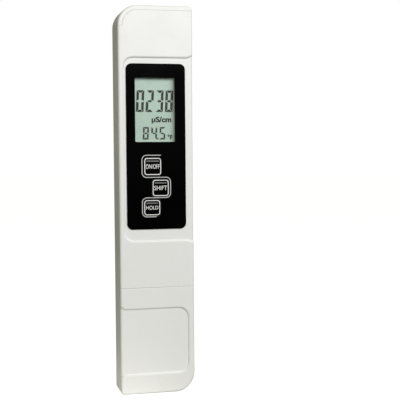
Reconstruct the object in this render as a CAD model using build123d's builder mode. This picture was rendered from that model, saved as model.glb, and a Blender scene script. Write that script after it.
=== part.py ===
from build123d import *
import os

# Water quality test pen, standing upright on its protective cap
# X is the width, the display faces -Y, Z goes up, all sizes are millimetres
# The origin lies under the middle of the pen's box, pocket clip included

os.makedirs("parts", exist_ok=True)

# Case walls, corners and clearances
WALL = 1.4
FRONT_WALL = 2.1
LONG_CORNER_R = 8.0
SHORT_CORNER_R = 1.6
EDGE_R = 0.85
CAVITY_R = 1.2
SEAM_GAP = 0.06
RIM_GAP = 0.02
SEAM_R = 0.2
SLIDE_GAP = 0.2
FIT_GAP = 0.1
LEAST_R = 0.2

# Splits of the case
CAP_TOP = 42.6
PARTING_DEPTH = 9.0
HOOD_SKIRT = 8.6
HOOD_RIM = 1.9
NECK_WALL = 1.0
NECK_RISE = 3.8
NECK_ROOT = 7.0

# Pocket clip on the back of the battery hood
CLIP_GAP = 1.8
CLIP_THICK = 1.6
CLIP_WIDTH = 9.0
CLIP_LENGTH = 38.0
CLIP_ROOT = 5.0
CLIP_DROP = 1.6
CLIP_TIP_GAP = 0.4
CLIP_TIP_RISE = 5.0
CLIP_TIP_R = 3.2
CLIP_BEND_R = 0.3
CLIP_EDGE_R = 0.6

# Scooped recesses in the front face
SCOOP_DEPTH = 0.6
SCOOP_CORNER_R = 3.7
PANEL_EDGE = 2.3
PANEL_FLARE_R = 5.0
PANEL_FLARE_OUT = 1.8
GRIP_EDGE = 2.65
GRIP_FLARE_R = 2.6
GRIP_FLARE_OUT = 0.2
GRIP_LOW = 8.4
GRIP_DROP = 8.7

# Printed overlay, display window and keys, in order up the front face
CHIN_H = 18.9
OVERLAY_FOOT = 4.35
KEY_FOOT = 5.15
KEY_W = 6.9
KEY_H = 6.8
KEY_R = 0.9
KEY_SPACE_LOW = 1.0
KEY_SPACE_HIGH = 1.72
SCREEN_SPACE = 6.33
SCREEN_W = 15.9
SCREEN_H = 25.2
SCREEN_R = 0.3
OVERLAY_BROW = 5.6
OVERLAY_HEAD = 2.15
OVERLAY_SIDE = 3.1
OVERLAY_R = 2.3
OVERLAY_T = 0.35
SCREEN_X = -0.37
POWER_X = -1.48
SHIFT_X = 1.65
HOLD_X = -1.83

# Key mechanism
KEY_GAP = 0.12
KEY_TRAVEL = 0.25
PLUNGER_INSET = 0.35
PLUNGER_FLANGE = 0.4
PLUNGER_FLANGE_T = 0.6
SWITCH_SIZE = 6.0
SWITCH_H = 3.2
SWITCH_CORNER_R = 0.6
STEM_R = 1.7
STEM_BURIED = 0.9

# Lens and liquid crystal display
LENS_MARGIN = 1.1
LENS_T = 1.0
LCD_MARGIN_X = 2.1
LCD_MARGIN_Z = 2.9
LCD_T = 2.0
LCD_GAP = 0.2
LCD_FRAME_WALL = 1.2
LCD_FRAME_LIP = 0.7
ZEBRA_W = 2.0

# Circuit board and what stands on it
BOARD_T = 1.0
BOARD_SIDE = 1.4
BOARD_TO_PROBE = 3.0
BOARD_TO_TRAY = 2.45
BOSS_R = 2.1
SCREW_R = 0.9
SCREW_LENGTH = 4.6
SCREW_HEAD_R = 1.7
SCREW_HEAD_T = 1.1
SCREW_EDGE = 2.4
SCREW_RISE = 7.0
CHIP_BLOB_R = 4.6
CHIP_BLOB_T = 1.7
CHIP_BLOB_EDGE_R = 1.5
CHIP_BLOB_RISE = 51.0
AMPLIFIER_W = 4.0
AMPLIFIER_L = 5.0
AMPLIFIER_T = 1.6
AMPLIFIER_EDGE = 0.25
AMPLIFIER_RISE = 13.0
CRYSTAL_R = 1.0
CRYSTAL_EDGE_R = 0.3
CRYSTAL_LENGTH = 6.0
CRYSTAL_DROP = 18.4
RESISTOR_W = 1.6
RESISTOR_L = 0.8
RESISTOR_T = 0.5
RESISTOR_PITCH_X = 4.4
RESISTOR_PITCH_Z = 3.2
RESISTOR_COLUMNS = 4
RESISTOR_ROWS = 3
RESISTOR_RISE = 27.0
CAPACITOR_R = 2.0
CAPACITOR_LENGTH = 4.6
CAPACITOR_X = 6.4
CAPACITOR_DROP = 9.4

# Button cells and their tray
CELL_R = 5.8
CELL_T = 5.4
CELL_CHAMFER = 0.5
CELL_GAP = 0.6
CELL_TOP_ROOM = 2.0
CELL_PLAY = 0.15
CELL_CLEARANCE = 0.1
TRAY_FLOOR = 1.0
TRAY_WALL = 1.0
TRAY_BACK_WALL = 2.3
TRAY_SIDE = 0.45
TRAY_TO_PANEL = 4.45
SHELF_T = 1.2
SHELF_REACH = 4.0
RIB_W = 6.0
CONTACT_T = 0.2
CONTACT_W = 5.0
CONTACT_TAIL = 2.4

# Probe
PROBE_RISE = 7.4
PROBE_DROP = 11.6
PROBE_W = 18.0
PROBE_D = 8.0
PROBE_LENGTH = 13.0
PROBE_FLOOR = 3.0
PROBE_POCKET_WALL = 1.6
COLLAR_RISE = 3.4
COLLAR_T = 1.6
COLLAR_GRIP = 0.6
SEAL_DROP = 6.6
SEAL_H = 1.6
SEAL_T = 1.0
ELECTRODE_X = 5.2
ELECTRODE_R = 1.0
ELECTRODE_TIP_R = 0.6
ELECTRODE_OUT = 7.5
ELECTRODE_SHOULDER = 4.0
ELECTRODE_TAIL_R = 0.5
SENSOR_R = 1.4
SENSOR_TIP_R = 1.0
SENSOR_OUT = 5.5
SENSOR_IN = 6.0
SENSOR_LEG_R = 0.25
SENSOR_LEG_X = 0.6

# Width, which two cells side by side set
CELL_X = CELL_R + CELL_GAP / 2
TRAY_W = 2 * (CELL_X + CELL_R + CELL_PLAY + TRAY_SIDE)
CAVITY_W = TRAY_W + 2 * (FIT_GAP + NECK_WALL)
WIDTH = CAVITY_W + 2 * WALL

# Depth, which the thickness of a cell between its contacts sets
TRAY_FRONT = FRONT_WALL + FIT_GAP
CELL_FRONT = TRAY_FRONT + TRAY_WALL + CONTACT_T + CELL_CLEARANCE
CELL_BACK = CELL_FRONT + CELL_T
POCKET_DEPTH = CELL_T + 2 * (CONTACT_T + CELL_CLEARANCE)
TRAY_BACK = TRAY_FRONT + TRAY_WALL + POCKET_DEPTH + TRAY_BACK_WALL
CAVITY_BACK = TRAY_BACK + FIT_GAP + NECK_WALL
DEPTH = CAVITY_BACK + WALL
CAVITY_D = CAVITY_BACK - FRONT_WALL

# Heights up the front face
PANEL_LOW = CAP_TOP + CHIN_H
OVERLAY_LOW = PANEL_LOW + OVERLAY_FOOT
HOLD_Z = OVERLAY_LOW + KEY_FOOT + KEY_H / 2
SHIFT_Z = HOLD_Z + KEY_H + KEY_SPACE_LOW
POWER_Z = SHIFT_Z + KEY_H + KEY_SPACE_HIGH
SCREEN_Z = POWER_Z + KEY_H / 2 + SCREEN_SPACE + SCREEN_H / 2
OVERLAY_HIGH = SCREEN_Z + SCREEN_H / 2 + OVERLAY_BROW
PANEL_HIGH = OVERLAY_HIGH + OVERLAY_HEAD
TRAY_LOW = PANEL_HIGH + TRAY_TO_PANEL
CELL_Z = TRAY_LOW + TRAY_FLOOR + CELL_PLAY + CELL_R
HEIGHT = CELL_Z + CELL_R + CELL_TOP_ROOM + WALL
HOOD_LOW = HEIGHT - HOOD_SKIRT
NECK_TOP = HOOD_LOW + NECK_RISE
NECK_LOW = HOOD_LOW - NECK_ROOT
GRIP_HIGH = CAP_TOP - GRIP_DROP
PROBE_TOP = CAP_TOP + PROBE_RISE
PROBE_NECK_LOW = CAP_TOP - PROBE_DROP
PROBE_LOW = PROBE_NECK_LOW - PROBE_LENGTH
COLLAR_Z = CAP_TOP + COLLAR_RISE
SEAL_Z = CAP_TOP - SEAL_DROP
BOARD_LOW = PROBE_TOP + BOARD_TO_PROBE
BOARD_HIGH = TRAY_LOW - BOARD_TO_TRAY
BOARD_H = BOARD_HIGH - BOARD_LOW
BOARD_Z = BOARD_LOW + BOARD_H / 2

# Places across and behind the front face
FRONT_Y = -(DEPTH + CLIP_GAP + CLIP_THICK) / 2
BACK_Y = FRONT_Y + DEPTH
CLIP_INNER_Y = BACK_Y + CLIP_GAP
CLIP_OUTER_Y = CLIP_INNER_Y + CLIP_THICK
CLIP_TOP = HEIGHT - CLIP_DROP
CLIP_LOW = CLIP_TOP - CLIP_LENGTH
HOOD_WALL = WALL - SLIDE_GAP
CAVITY_Y = FRONT_Y + FRONT_WALL + CAVITY_D / 2
NECK_W = CAVITY_W - 2 * SLIDE_GAP
NECK_D = CAVITY_D - 2 * SLIDE_GAP
OVERLAY_W = WIDTH - 2 * OVERLAY_SIDE
FLANGE_FRONT = FRONT_WALL + SEAM_GAP
FLANGE_BACK = FLANGE_FRONT + PLUNGER_FLANGE_T
SWITCH_FRONT = FLANGE_BACK + KEY_TRAVEL + KEY_GAP
BOARD_DEPTH = SWITCH_FRONT + SWITCH_H
BOARD_BACK = BOARD_DEPTH + BOARD_T
BOARD_W = CAVITY_W - 2 * BOARD_SIDE
LCD_FRONT = FRONT_WALL + LCD_GAP
LCD_W = SCREEN_W + 2 * LCD_MARGIN_X
LCD_H = SCREEN_H + 2 * LCD_MARGIN_Z

# Centres, as width and height on the front face, or as width and depth seen from above
KEY_CENTRES = {"power": (POWER_X, POWER_Z), "shift": (SHIFT_X, SHIFT_Z), "hold": (HOLD_X, HOLD_Z)}
SCREEN_CENTRE = (SCREEN_X, SCREEN_Z)
SCREW_X = BOARD_W / 2 - SCREW_EDGE
SCREW_CENTRES = [(x, z) for x in (-SCREW_X, SCREW_X) for z in (BOARD_LOW + SCREW_RISE, POWER_Z)]
CELL_CENTRES = [(-CELL_X, CELL_Z), (CELL_X, CELL_Z)]
ELECTRODE_CENTRES = [(-ELECTRODE_X, CAVITY_Y), (ELECTRODE_X, CAVITY_Y)]
SENSOR_LEG_CENTRES = [(-SENSOR_LEG_X, CAVITY_Y), (SENSOR_LEG_X, CAVITY_Y)]


def behind(depth):
    """The plane that lies depth behind the front face, seen from the front."""
    return Plane.XZ.offset(-(FRONT_Y + depth))


def draw_outline(inset=0.0):
    """Draw the front outline in the open sketch: two long corners, two short ones."""
    with Locations((0, HEIGHT / 2)):
        Rectangle(WIDTH - 2 * inset, HEIGHT - 2 * inset)
    left, right = vertices().group_by(Axis.X)
    long_corners = [left.sort_by(Axis.Y)[-1], right.sort_by(Axis.Y)[0]]
    fillet(long_corners, LONG_CORNER_R - inset)
    foot = vertices().group_by(Axis.Y)[0].sort_by(Axis.X)[0]
    head = vertices().group_by(Axis.Y)[-1].sort_by(Axis.X)[-1]
    fillet([foot, head], max(SHORT_CORNER_R - inset, LEAST_R))


def scoop(wall_x, low, high, flare_r, flare_out):
    """A recess with a wall at wall_x, which flares as it runs out over the other side."""
    away = 1 if wall_x < 0 else -1
    flare_x = away * (WIDTH / 2 + flare_out)
    far_x = flare_x + away * flare_r
    with BuildSketch() as shape:
        with Locations(((wall_x + far_x) / 2, (low + high) / 2)):
            Rectangle(abs(far_x - wall_x), high - low)
        with Locations(((flare_x + far_x) / 2, (low + high) / 2)):
            Rectangle(abs(far_x - flare_x), high - low + 4 * flare_r)
        columns = vertices().group_by(Axis.X, reverse=away < 0)
        fillet(columns[1].sort_by(Axis.Y)[1:3], flare_r)
        columns = vertices().group_by(Axis.X, reverse=away < 0)
        fillet(columns[0], SCOOP_CORNER_R)
    return shape.sketch


def tongue(gap=0.0, rim_gap=0.0):
    """The front panel's top end, grown by rim_gap under the hood's rim and by gap elsewhere."""
    centre = (-WIDTH / 2 + LONG_CORNER_R - gap + rim_gap, HEIGHT - LONG_CORNER_R)
    side = WIDTH / 2 + LONG_CORNER_R
    with BuildSketch() as shape:
        with BuildLine():
            rim = CenterArc(centre, LONG_CORNER_R - HOOD_RIM + rim_gap, 90, 90)
            Polyline(
                rim @ 1,
                (-WIDTH / 2, HOOD_LOW + gap),
                (-side, HOOD_LOW + gap),
                (-side, HOOD_LOW - HOOD_SKIRT),
                (side, HOOD_LOW - HOOD_SKIRT),
                (side, (rim @ 0).Y),
                rim @ 0,
            )
        make_face()
    return shape.sketch


def key_outline(centre, grow=0.0):
    """Draw a key's rounded square in the open sketch, grown by grow."""
    with Locations(centre):
        RectangleRounded(KEY_W + 2 * grow, KEY_H + 2 * grow, KEY_R + grow)


def save(block, name):
    """Label a finished piece and write it."""
    block.part.label = name
    export_step(block.part, f"parts/{name}.step")


# Outer form of the closed pen
# The land is the front face proper, which the recesses leave standing
panel_scoop = scoop(-WIDTH / 2 + PANEL_EDGE, PANEL_LOW, PANEL_HIGH, PANEL_FLARE_R, PANEL_FLARE_OUT)
grip_scoop = scoop(WIDTH / 2 - GRIP_EDGE, GRIP_LOW, GRIP_HIGH, GRIP_FLARE_R, GRIP_FLARE_OUT)

with BuildPart() as land:
    with BuildSketch(behind(0)):
        draw_outline()
        add(panel_scoop, mode=Mode.SUBTRACT)
        add(grip_scoop, mode=Mode.SUBTRACT)
    extrude(amount=-FRONT_WALL)
    fillet(land.edges().group_by(Axis.Y)[0], EDGE_R)

with BuildPart() as pen_block:
    with BuildSketch(behind(SCOOP_DEPTH)):
        draw_outline()
    extrude(amount=-(DEPTH - SCOOP_DEPTH))
    fillet(pen_block.edges().group_by(Axis.Y)[0], EDGE_R)
    fillet(pen_block.edges().group_by(Axis.Y)[-1], EDGE_R)
    add(land.part)

# Room inside the case and the cap, one form for both
with BuildPart() as cavity:
    with BuildSketch(behind(FRONT_WALL)):
        draw_outline(WALL)
    extrude(amount=-CAVITY_D)
    fillet(cavity.edges().filter_by(Axis.Z), CAVITY_R)

# Neck that the battery hood slides over
with BuildPart() as neck:
    add(cavity.part)
    with BuildSketch(behind(FRONT_WALL)):
        draw_outline(WALL + NECK_WALL)
    extrude(amount=-(CAVITY_D - NECK_WALL), mode=Mode.SUBTRACT)
    split(bisect_by=Plane.XY.offset(NECK_LOW), keep=Keep.TOP)
    split(bisect_by=Plane.XY.offset(NECK_TOP), keep=Keep.BOTTOM)

# Groove in the case that holds the probe's collar
with BuildPart() as collar_groove:
    with BuildSketch(Plane.XY.offset(COLLAR_Z)):
        with Locations((0, CAVITY_Y)):
            RectangleRounded(CAVITY_W + 2 * COLLAR_GRIP, CAVITY_D + 2 * COLLAR_GRIP, CAVITY_R)
    extrude(amount=COLLAR_T)

# Front half of the case
with BuildPart() as front_shell:
    add(pen_block.part)
    split(bisect_by=Plane.XY.offset(CAP_TOP), keep=Keep.TOP)
    split(bisect_by=behind(PARTING_DEPTH), keep=Keep.TOP)
    with BuildSketch(behind(0)):
        with Locations((0, HOOD_LOW)):
            Rectangle(2 * WIDTH, 2 * HOOD_SKIRT, align=(Align.CENTER, Align.MIN))
        add(tongue(), mode=Mode.SUBTRACT)
    extrude(amount=-FRONT_WALL, mode=Mode.SUBTRACT)
    with BuildSketch(behind(FRONT_WALL)):
        with Locations((0, HOOD_LOW)):
            Rectangle(2 * WIDTH, 2 * HOOD_SKIRT, align=(Align.CENTER, Align.MIN))
    extrude(amount=-DEPTH, mode=Mode.SUBTRACT)
    add(cavity.part, mode=Mode.SUBTRACT)
    add(neck.part)
    split(bisect_by=behind(PARTING_DEPTH), keep=Keep.TOP)
    add(collar_groove.part, mode=Mode.SUBTRACT)
    # Lens seat and the window through it
    with BuildSketch(behind(SCOOP_DEPTH)):
        with Locations(SCREEN_CENTRE):
            Rectangle(SCREEN_W + 2 * LENS_MARGIN + FIT_GAP, SCREEN_H + 2 * LENS_MARGIN + FIT_GAP)
    extrude(amount=-(LENS_T + FIT_GAP / 2), mode=Mode.SUBTRACT)
    with BuildSketch(behind(SCOOP_DEPTH)):
        with Locations(SCREEN_CENTRE):
            Rectangle(SCREEN_W + FIT_GAP, SCREEN_H + FIT_GAP)
    extrude(amount=-FRONT_WALL, mode=Mode.SUBTRACT)
    # Key holes
    with BuildSketch(behind(0)):
        for centre in KEY_CENTRES.values():
            key_outline(centre, KEY_GAP)
    extrude(amount=-2 * FRONT_WALL, mode=Mode.SUBTRACT)
    # Bosses for the board screws
    with BuildSketch(behind(FRONT_WALL)):
        with Locations(SCREW_CENTRES):
            Circle(BOSS_R)
    extrude(amount=-(BOARD_DEPTH - FRONT_WALL))
    with BuildSketch(behind(BOARD_DEPTH)):
        with Locations(SCREW_CENTRES):
            Circle(SCREW_R)
    extrude(amount=SCREW_LENGTH - BOARD_T + FIT_GAP, mode=Mode.SUBTRACT)
    # Shelf under the battery tray
    with BuildSketch(behind(FRONT_WALL)):
        with Locations((0, TRAY_LOW)):
            Rectangle(CAVITY_W, SHELF_T, align=(Align.CENTER, Align.MAX))
    extrude(amount=-SHELF_REACH)
save(front_shell, "front_shell")

# Back half of the case, with lips that line it up with the front half
with BuildPart() as back_shell:
    add(pen_block.part)
    split(bisect_by=Plane.XY.offset(CAP_TOP), keep=Keep.TOP)
    split(bisect_by=Plane.XY.offset(HOOD_LOW), keep=Keep.BOTTOM)
    add(cavity.part, mode=Mode.SUBTRACT)
    add(neck.part)
    split(bisect_by=behind(PARTING_DEPTH), keep=Keep.BOTTOM)
    add(collar_groove.part, mode=Mode.SUBTRACT)
    with BuildSketch(behind(PARTING_DEPTH - WALL)):
        with Locations((-CAVITY_W / 2 + FIT_GAP, BOARD_Z)):
            Rectangle(NECK_WALL, BOARD_H, align=(Align.MIN, Align.CENTER))
        with Locations((CAVITY_W / 2 - FIT_GAP, BOARD_Z)):
            Rectangle(NECK_WALL, BOARD_H, align=(Align.MAX, Align.CENTER))
    extrude(amount=-(2 * WALL))
    with BuildSketch(behind(PARTING_DEPTH)):
        with Locations((0, BOARD_Z)):
            Rectangle(CAVITY_W + FIT_GAP, BOARD_H)
            Rectangle(CAVITY_W - 2 * NECK_WALL - 2 * FIT_GAP, BOARD_H, mode=Mode.SUBTRACT)
    extrude(amount=-WALL)
    # Ribs that stop the board from lifting
    with BuildSketch(behind(BOARD_BACK + FIT_GAP)):
        for rib_z in (BOARD_LOW + 2 * SHELF_T, BOARD_HIGH - 2 * SHELF_T):
            with Locations((0, rib_z)):
                Rectangle(RIB_W, SHELF_T)
    extrude(amount=-(CAVITY_BACK - BOARD_BACK))
save(back_shell, "back_shell")

# Pocket clip: its side view cut to its back view and to its section
with BuildPart() as pocket_clip:
    with BuildSketch(Plane.YZ.offset(-CLIP_WIDTH / 2)):
        with BuildLine():
            Polyline(
                (BACK_Y - HOOD_WALL, CLIP_TOP),
                (CLIP_INNER_Y, CLIP_TOP),
                (CLIP_OUTER_Y, CLIP_TOP - CLIP_THICK),
                (CLIP_OUTER_Y, CLIP_LOW + CLIP_TIP_RISE),
                (CLIP_OUTER_Y - CLIP_THICK / 2, CLIP_LOW),
                (CLIP_INNER_Y, CLIP_LOW),
                (BACK_Y + CLIP_TIP_GAP, CLIP_LOW + CLIP_TIP_RISE / 2),
                (CLIP_INNER_Y, CLIP_LOW + CLIP_TIP_RISE),
                (CLIP_INNER_Y, CLIP_TOP - CLIP_ROOT),
                (BACK_Y - HOOD_WALL, CLIP_TOP - CLIP_ROOT),
                close=True,
            )
        make_face()
        fillet(vertices().group_by(Axis.X)[1:], CLIP_BEND_R)
    extrude(amount=CLIP_WIDTH)
    with BuildSketch(behind(DEPTH - HOOD_WALL)):
        with Locations((0, CLIP_LOW)):
            Rectangle(CLIP_WIDTH, CLIP_LENGTH, align=(Align.CENTER, Align.MIN))
        fillet(vertices().group_by(Axis.Y)[0], CLIP_TIP_R)
    extrude(amount=-(HOOD_WALL + CLIP_GAP + CLIP_THICK), mode=Mode.INTERSECT)
    with BuildSketch(Plane.XY.offset(CLIP_LOW)):
        with Locations((0, BACK_Y - HOOD_WALL)):
            Rectangle(CLIP_WIDTH, CLIP_OUTER_Y - BACK_Y + HOOD_WALL, align=(Align.CENTER, Align.MIN))
        fillet(vertices().group_by(Axis.Y)[-1], CLIP_EDGE_R)
    extrude(amount=CLIP_LENGTH, mode=Mode.INTERSECT)

# Battery hood: top cap with the moulded pocket clip
with BuildPart() as battery_hood:
    add(pen_block.part)
    split(bisect_by=Plane.XY.offset(HOOD_LOW + SEAM_GAP), keep=Keep.TOP)
    with BuildSketch(behind(0)):
        add(tongue(SEAM_GAP, RIM_GAP))
    extrude(amount=-(FRONT_WALL + SEAM_GAP), mode=Mode.SUBTRACT)
    with BuildSketch(behind(FRONT_WALL)):
        draw_outline(HOOD_WALL)
    extrude(amount=-(DEPTH - FRONT_WALL - HOOD_WALL), mode=Mode.SUBTRACT)
    add(pocket_clip.part)
save(battery_hood, "battery_hood")

# Protective cap over the probe
with BuildPart() as protective_cap:
    add(pen_block.part)
    split(bisect_by=Plane.XY.offset(CAP_TOP - SEAM_GAP), keep=Keep.BOTTOM)
    fillet(protective_cap.faces().sort_by(Axis.Z)[-1].edges(), SEAM_R)
    add(cavity.part, mode=Mode.SUBTRACT)
save(protective_cap, "protective_cap")

# Printed overlay film
with BuildPart() as overlay_film:
    with BuildSketch(behind(SCOOP_DEPTH - OVERLAY_T)):
        with Locations((0, (OVERLAY_LOW + OVERLAY_HIGH) / 2)):
            RectangleRounded(OVERLAY_W, OVERLAY_HIGH - OVERLAY_LOW, OVERLAY_R)
        with Locations(SCREEN_CENTRE):
            RectangleRounded(SCREEN_W, SCREEN_H, SCREEN_R, mode=Mode.SUBTRACT)
        for centre in KEY_CENTRES.values():
            with Locations(centre):
                grown = 2 * KEY_GAP
                RectangleRounded(KEY_W + grown, KEY_H + grown, KEY_R + KEY_GAP, mode=Mode.SUBTRACT)
    extrude(amount=-OVERLAY_T)
save(overlay_film, "overlay_film")

# Clear lens in the window
with BuildPart() as display_lens:
    with BuildSketch(behind(SCOOP_DEPTH)):
        with Locations(SCREEN_CENTRE):
            Rectangle(SCREEN_W + 2 * LENS_MARGIN, SCREEN_H + 2 * LENS_MARGIN)
    extrude(amount=-LENS_T)
save(display_lens, "display_lens")

# Liquid crystal cell: front and back glass, the back one longer for its contacts
with BuildPart() as lcd_glass:
    with BuildSketch(behind(LCD_FRONT)):
        with Locations(SCREEN_CENTRE):
            Rectangle(LCD_W, LCD_H)
    extrude(amount=-LCD_T / 2)
    with BuildSketch(behind(LCD_FRONT + LCD_T / 2)):
        with Locations(SCREEN_CENTRE):
            Rectangle(LCD_W, LCD_H - ZEBRA_W)
    extrude(amount=-LCD_T / 2)
save(lcd_glass, "lcd_glass")

# Rubber strips that join the glass to the board
with BuildPart() as zebra_strips:
    with BuildSketch(behind(LCD_FRONT + LCD_T)):
        for end in (-1, 1):
            with Locations((SCREEN_X, SCREEN_Z + end * (LCD_H / 2 - ZEBRA_W))):
                Rectangle(LCD_W - ZEBRA_W, ZEBRA_W)
    extrude(amount=-(BOARD_DEPTH - LCD_FRONT - LCD_T))
save(zebra_strips, "zebra_strips")

# Frame that seats the glass on the board
with BuildPart() as lcd_frame:
    with BuildSketch(behind(LCD_FRONT)):
        with Locations(SCREEN_CENTRE):
            Rectangle(LCD_W + 2 * LCD_FRAME_WALL, LCD_H + 2 * LCD_FRAME_WALL)
            Rectangle(LCD_W + FIT_GAP, LCD_H + FIT_GAP, mode=Mode.SUBTRACT)
    extrude(amount=-(BOARD_DEPTH - LCD_FRONT))
    with BuildSketch(behind(LCD_FRONT + LCD_T + FIT_GAP)):
        with Locations(SCREEN_CENTRE):
            Rectangle(LCD_W + LCD_FRAME_WALL, LCD_H + LCD_FRAME_WALL)
            Rectangle(LCD_W - 2 * LCD_FRAME_LIP, LCD_H + LCD_FRAME_WALL, mode=Mode.SUBTRACT)
    extrude(amount=-(BOARD_DEPTH - LCD_FRONT - LCD_T - FIT_GAP))
    chamfer(lcd_frame.edges().filter_by(Axis.Y).group_by(SortBy.LENGTH)[-1], LCD_FRAME_LIP)
save(lcd_frame, "lcd_frame")

# Circuit board with its screw holes
with BuildPart() as circuit_board:
    with BuildSketch(behind(BOARD_DEPTH)):
        with Locations((0, BOARD_Z)):
            RectangleRounded(BOARD_W, BOARD_H, BOARD_T)
        with Locations(SCREW_CENTRES):
            Circle(SCREW_R + FIT_GAP, mode=Mode.SUBTRACT)
    extrude(amount=-BOARD_T)
save(circuit_board, "circuit_board")

# Board screws, driven from behind into the front shell's bosses
with BuildPart() as board_screws:
    with BuildSketch(behind(BOARD_BACK)):
        with Locations(SCREW_CENTRES):
            Circle(SCREW_HEAD_R)
    extrude(amount=-SCREW_HEAD_T)
    chamfer(board_screws.edges().group_by(Axis.Y)[-1], SCREW_HEAD_T / 3)
    with BuildSketch(behind(BOARD_BACK)):
        with Locations(SCREW_CENTRES):
            Circle(SCREW_R)
    extrude(amount=SCREW_LENGTH)
    # Cross slots in the heads
    with BuildSketch(behind(BOARD_BACK + SCREW_HEAD_T)):
        with Locations(SCREW_CENTRES):
            Rectangle(2 * SCREW_R, SCREW_R / 3)
            Rectangle(SCREW_R / 3, 2 * SCREW_R)
    extrude(amount=SCREW_HEAD_T / 2, mode=Mode.SUBTRACT)
save(board_screws, "board_screws")

# Controller under its drop of black resin
with BuildPart() as controller_blob:
    with BuildSketch(behind(BOARD_BACK)):
        with Locations((0, BOARD_LOW + CHIP_BLOB_RISE)):
            Circle(CHIP_BLOB_R)
    extrude(amount=-CHIP_BLOB_T)
    fillet(controller_blob.edges().group_by(Axis.Y)[-1], CHIP_BLOB_EDGE_R)
save(controller_blob, "controller_blob")

# Amplifier, clock crystal, resistors and capacitors on the back of the board
with BuildPart() as signal_amplifier:
    with BuildSketch(behind(BOARD_BACK)):
        with Locations((0, BOARD_LOW + AMPLIFIER_RISE)):
            Rectangle(AMPLIFIER_W, AMPLIFIER_L)
    extrude(amount=-AMPLIFIER_T)
    chamfer(signal_amplifier.edges().group_by(Axis.Y)[-1], AMPLIFIER_EDGE)
save(signal_amplifier, "signal_amplifier")

with BuildPart() as clock_crystal:
    with BuildSketch(Plane.YZ.offset(-CRYSTAL_LENGTH / 2)):
        with Locations((FRONT_Y + BOARD_BACK + CRYSTAL_R, BOARD_HIGH - CRYSTAL_DROP)):
            Circle(CRYSTAL_R)
    extrude(amount=CRYSTAL_LENGTH)
    fillet(clock_crystal.edges().group_by(Axis.X)[0], CRYSTAL_EDGE_R)
save(clock_crystal, "clock_crystal")

with BuildPart() as resistors:
    with BuildSketch(behind(BOARD_BACK)):
        with Locations((0, BOARD_LOW + RESISTOR_RISE)):
            with GridLocations(RESISTOR_PITCH_X, RESISTOR_PITCH_Z, RESISTOR_COLUMNS, RESISTOR_ROWS):
                Rectangle(RESISTOR_W, RESISTOR_L)
    extrude(amount=-RESISTOR_T)
save(resistors, "resistors")

with BuildPart() as filter_capacitors:
    for side in (-1, 1):
        with BuildSketch(Plane.YZ.offset(side * CAPACITOR_X - CAPACITOR_LENGTH / 2)):
            with Locations((FRONT_Y + BOARD_BACK + CAPACITOR_R, BOARD_HIGH - CAPACITOR_DROP)):
                Circle(CAPACITOR_R)
        extrude(amount=CAPACITOR_LENGTH)
save(filter_capacitors, "filter_capacitors")

# Each key: printed film pad, plunger, switch stem and switch
for key, centre in KEY_CENTRES.items():
    with BuildPart() as key_pad:
        with BuildSketch(behind(SCOOP_DEPTH - OVERLAY_T)):
            key_outline(centre)
        extrude(amount=-OVERLAY_T)
    save(key_pad, f"{key}_pad")

    with BuildPart() as key_plunger:
        with BuildSketch(behind(SCOOP_DEPTH)):
            key_outline(centre, -PLUNGER_INSET)
        extrude(amount=-(FLANGE_BACK - SCOOP_DEPTH))
        with BuildSketch(behind(FLANGE_FRONT)):
            key_outline(centre, PLUNGER_FLANGE)
        extrude(amount=-PLUNGER_FLANGE_T)
    save(key_plunger, f"{key}_plunger")

    with BuildPart() as switch_stem:
        with BuildSketch(behind(FLANGE_BACK)):
            with Locations(centre):
                Circle(STEM_R)
        extrude(amount=-(SWITCH_FRONT - FLANGE_BACK + STEM_BURIED))
        chamfer(switch_stem.edges().group_by(Axis.Y)[-1], FIT_GAP)
    save(switch_stem, f"{key}_stem")

    with BuildPart() as switch_body:
        with BuildSketch(behind(SWITCH_FRONT)):
            with Locations(centre):
                Rectangle(SWITCH_SIZE, SWITCH_SIZE)
            chamfer(vertices(), SWITCH_CORNER_R)
        extrude(amount=-(BOARD_DEPTH - SWITCH_FRONT))
        with BuildSketch(behind(SWITCH_FRONT)):
            with Locations(centre):
                Circle(STEM_R + FIT_GAP)
        extrude(amount=-(STEM_BURIED + KEY_TRAVEL + KEY_GAP), mode=Mode.SUBTRACT)
    save(switch_body, f"{key}_switch")

# Tray for the two button cells, open at the top
with BuildPart() as battery_tray:
    with BuildSketch(behind(TRAY_FRONT)):
        with Locations((0, TRAY_LOW)):
            Rectangle(TRAY_W, NECK_TOP - TRAY_LOW, align=(Align.CENTER, Align.MIN))
        fillet(vertices().group_by(Axis.Y)[-1].sort_by(Axis.X)[0], LONG_CORNER_R - WALL - NECK_WALL)
    extrude(amount=-(TRAY_BACK - TRAY_FRONT))
    # Pockets: round at the bottom, straight up to the mouth
    with BuildSketch(behind(TRAY_FRONT + TRAY_WALL)):
        with Locations(CELL_CENTRES):
            Circle(CELL_R + CELL_PLAY)
            Rectangle(2 * (CELL_R + CELL_PLAY), HEIGHT, align=(Align.CENTER, Align.MIN))
    extrude(amount=-POCKET_DEPTH, mode=Mode.SUBTRACT)
    # Slots in the floor for the contact tails
    with BuildSketch(behind(CELL_BACK + CELL_CLEARANCE - FIT_GAP)):
        with Locations((-CELL_X, TRAY_LOW), (CELL_X, TRAY_LOW)):
            Rectangle(CONTACT_W + 2 * FIT_GAP, 2 * CELL_R)
    extrude(amount=-(CONTACT_T + 2 * FIT_GAP), mode=Mode.SUBTRACT)
save(battery_tray, "battery_tray")

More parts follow.
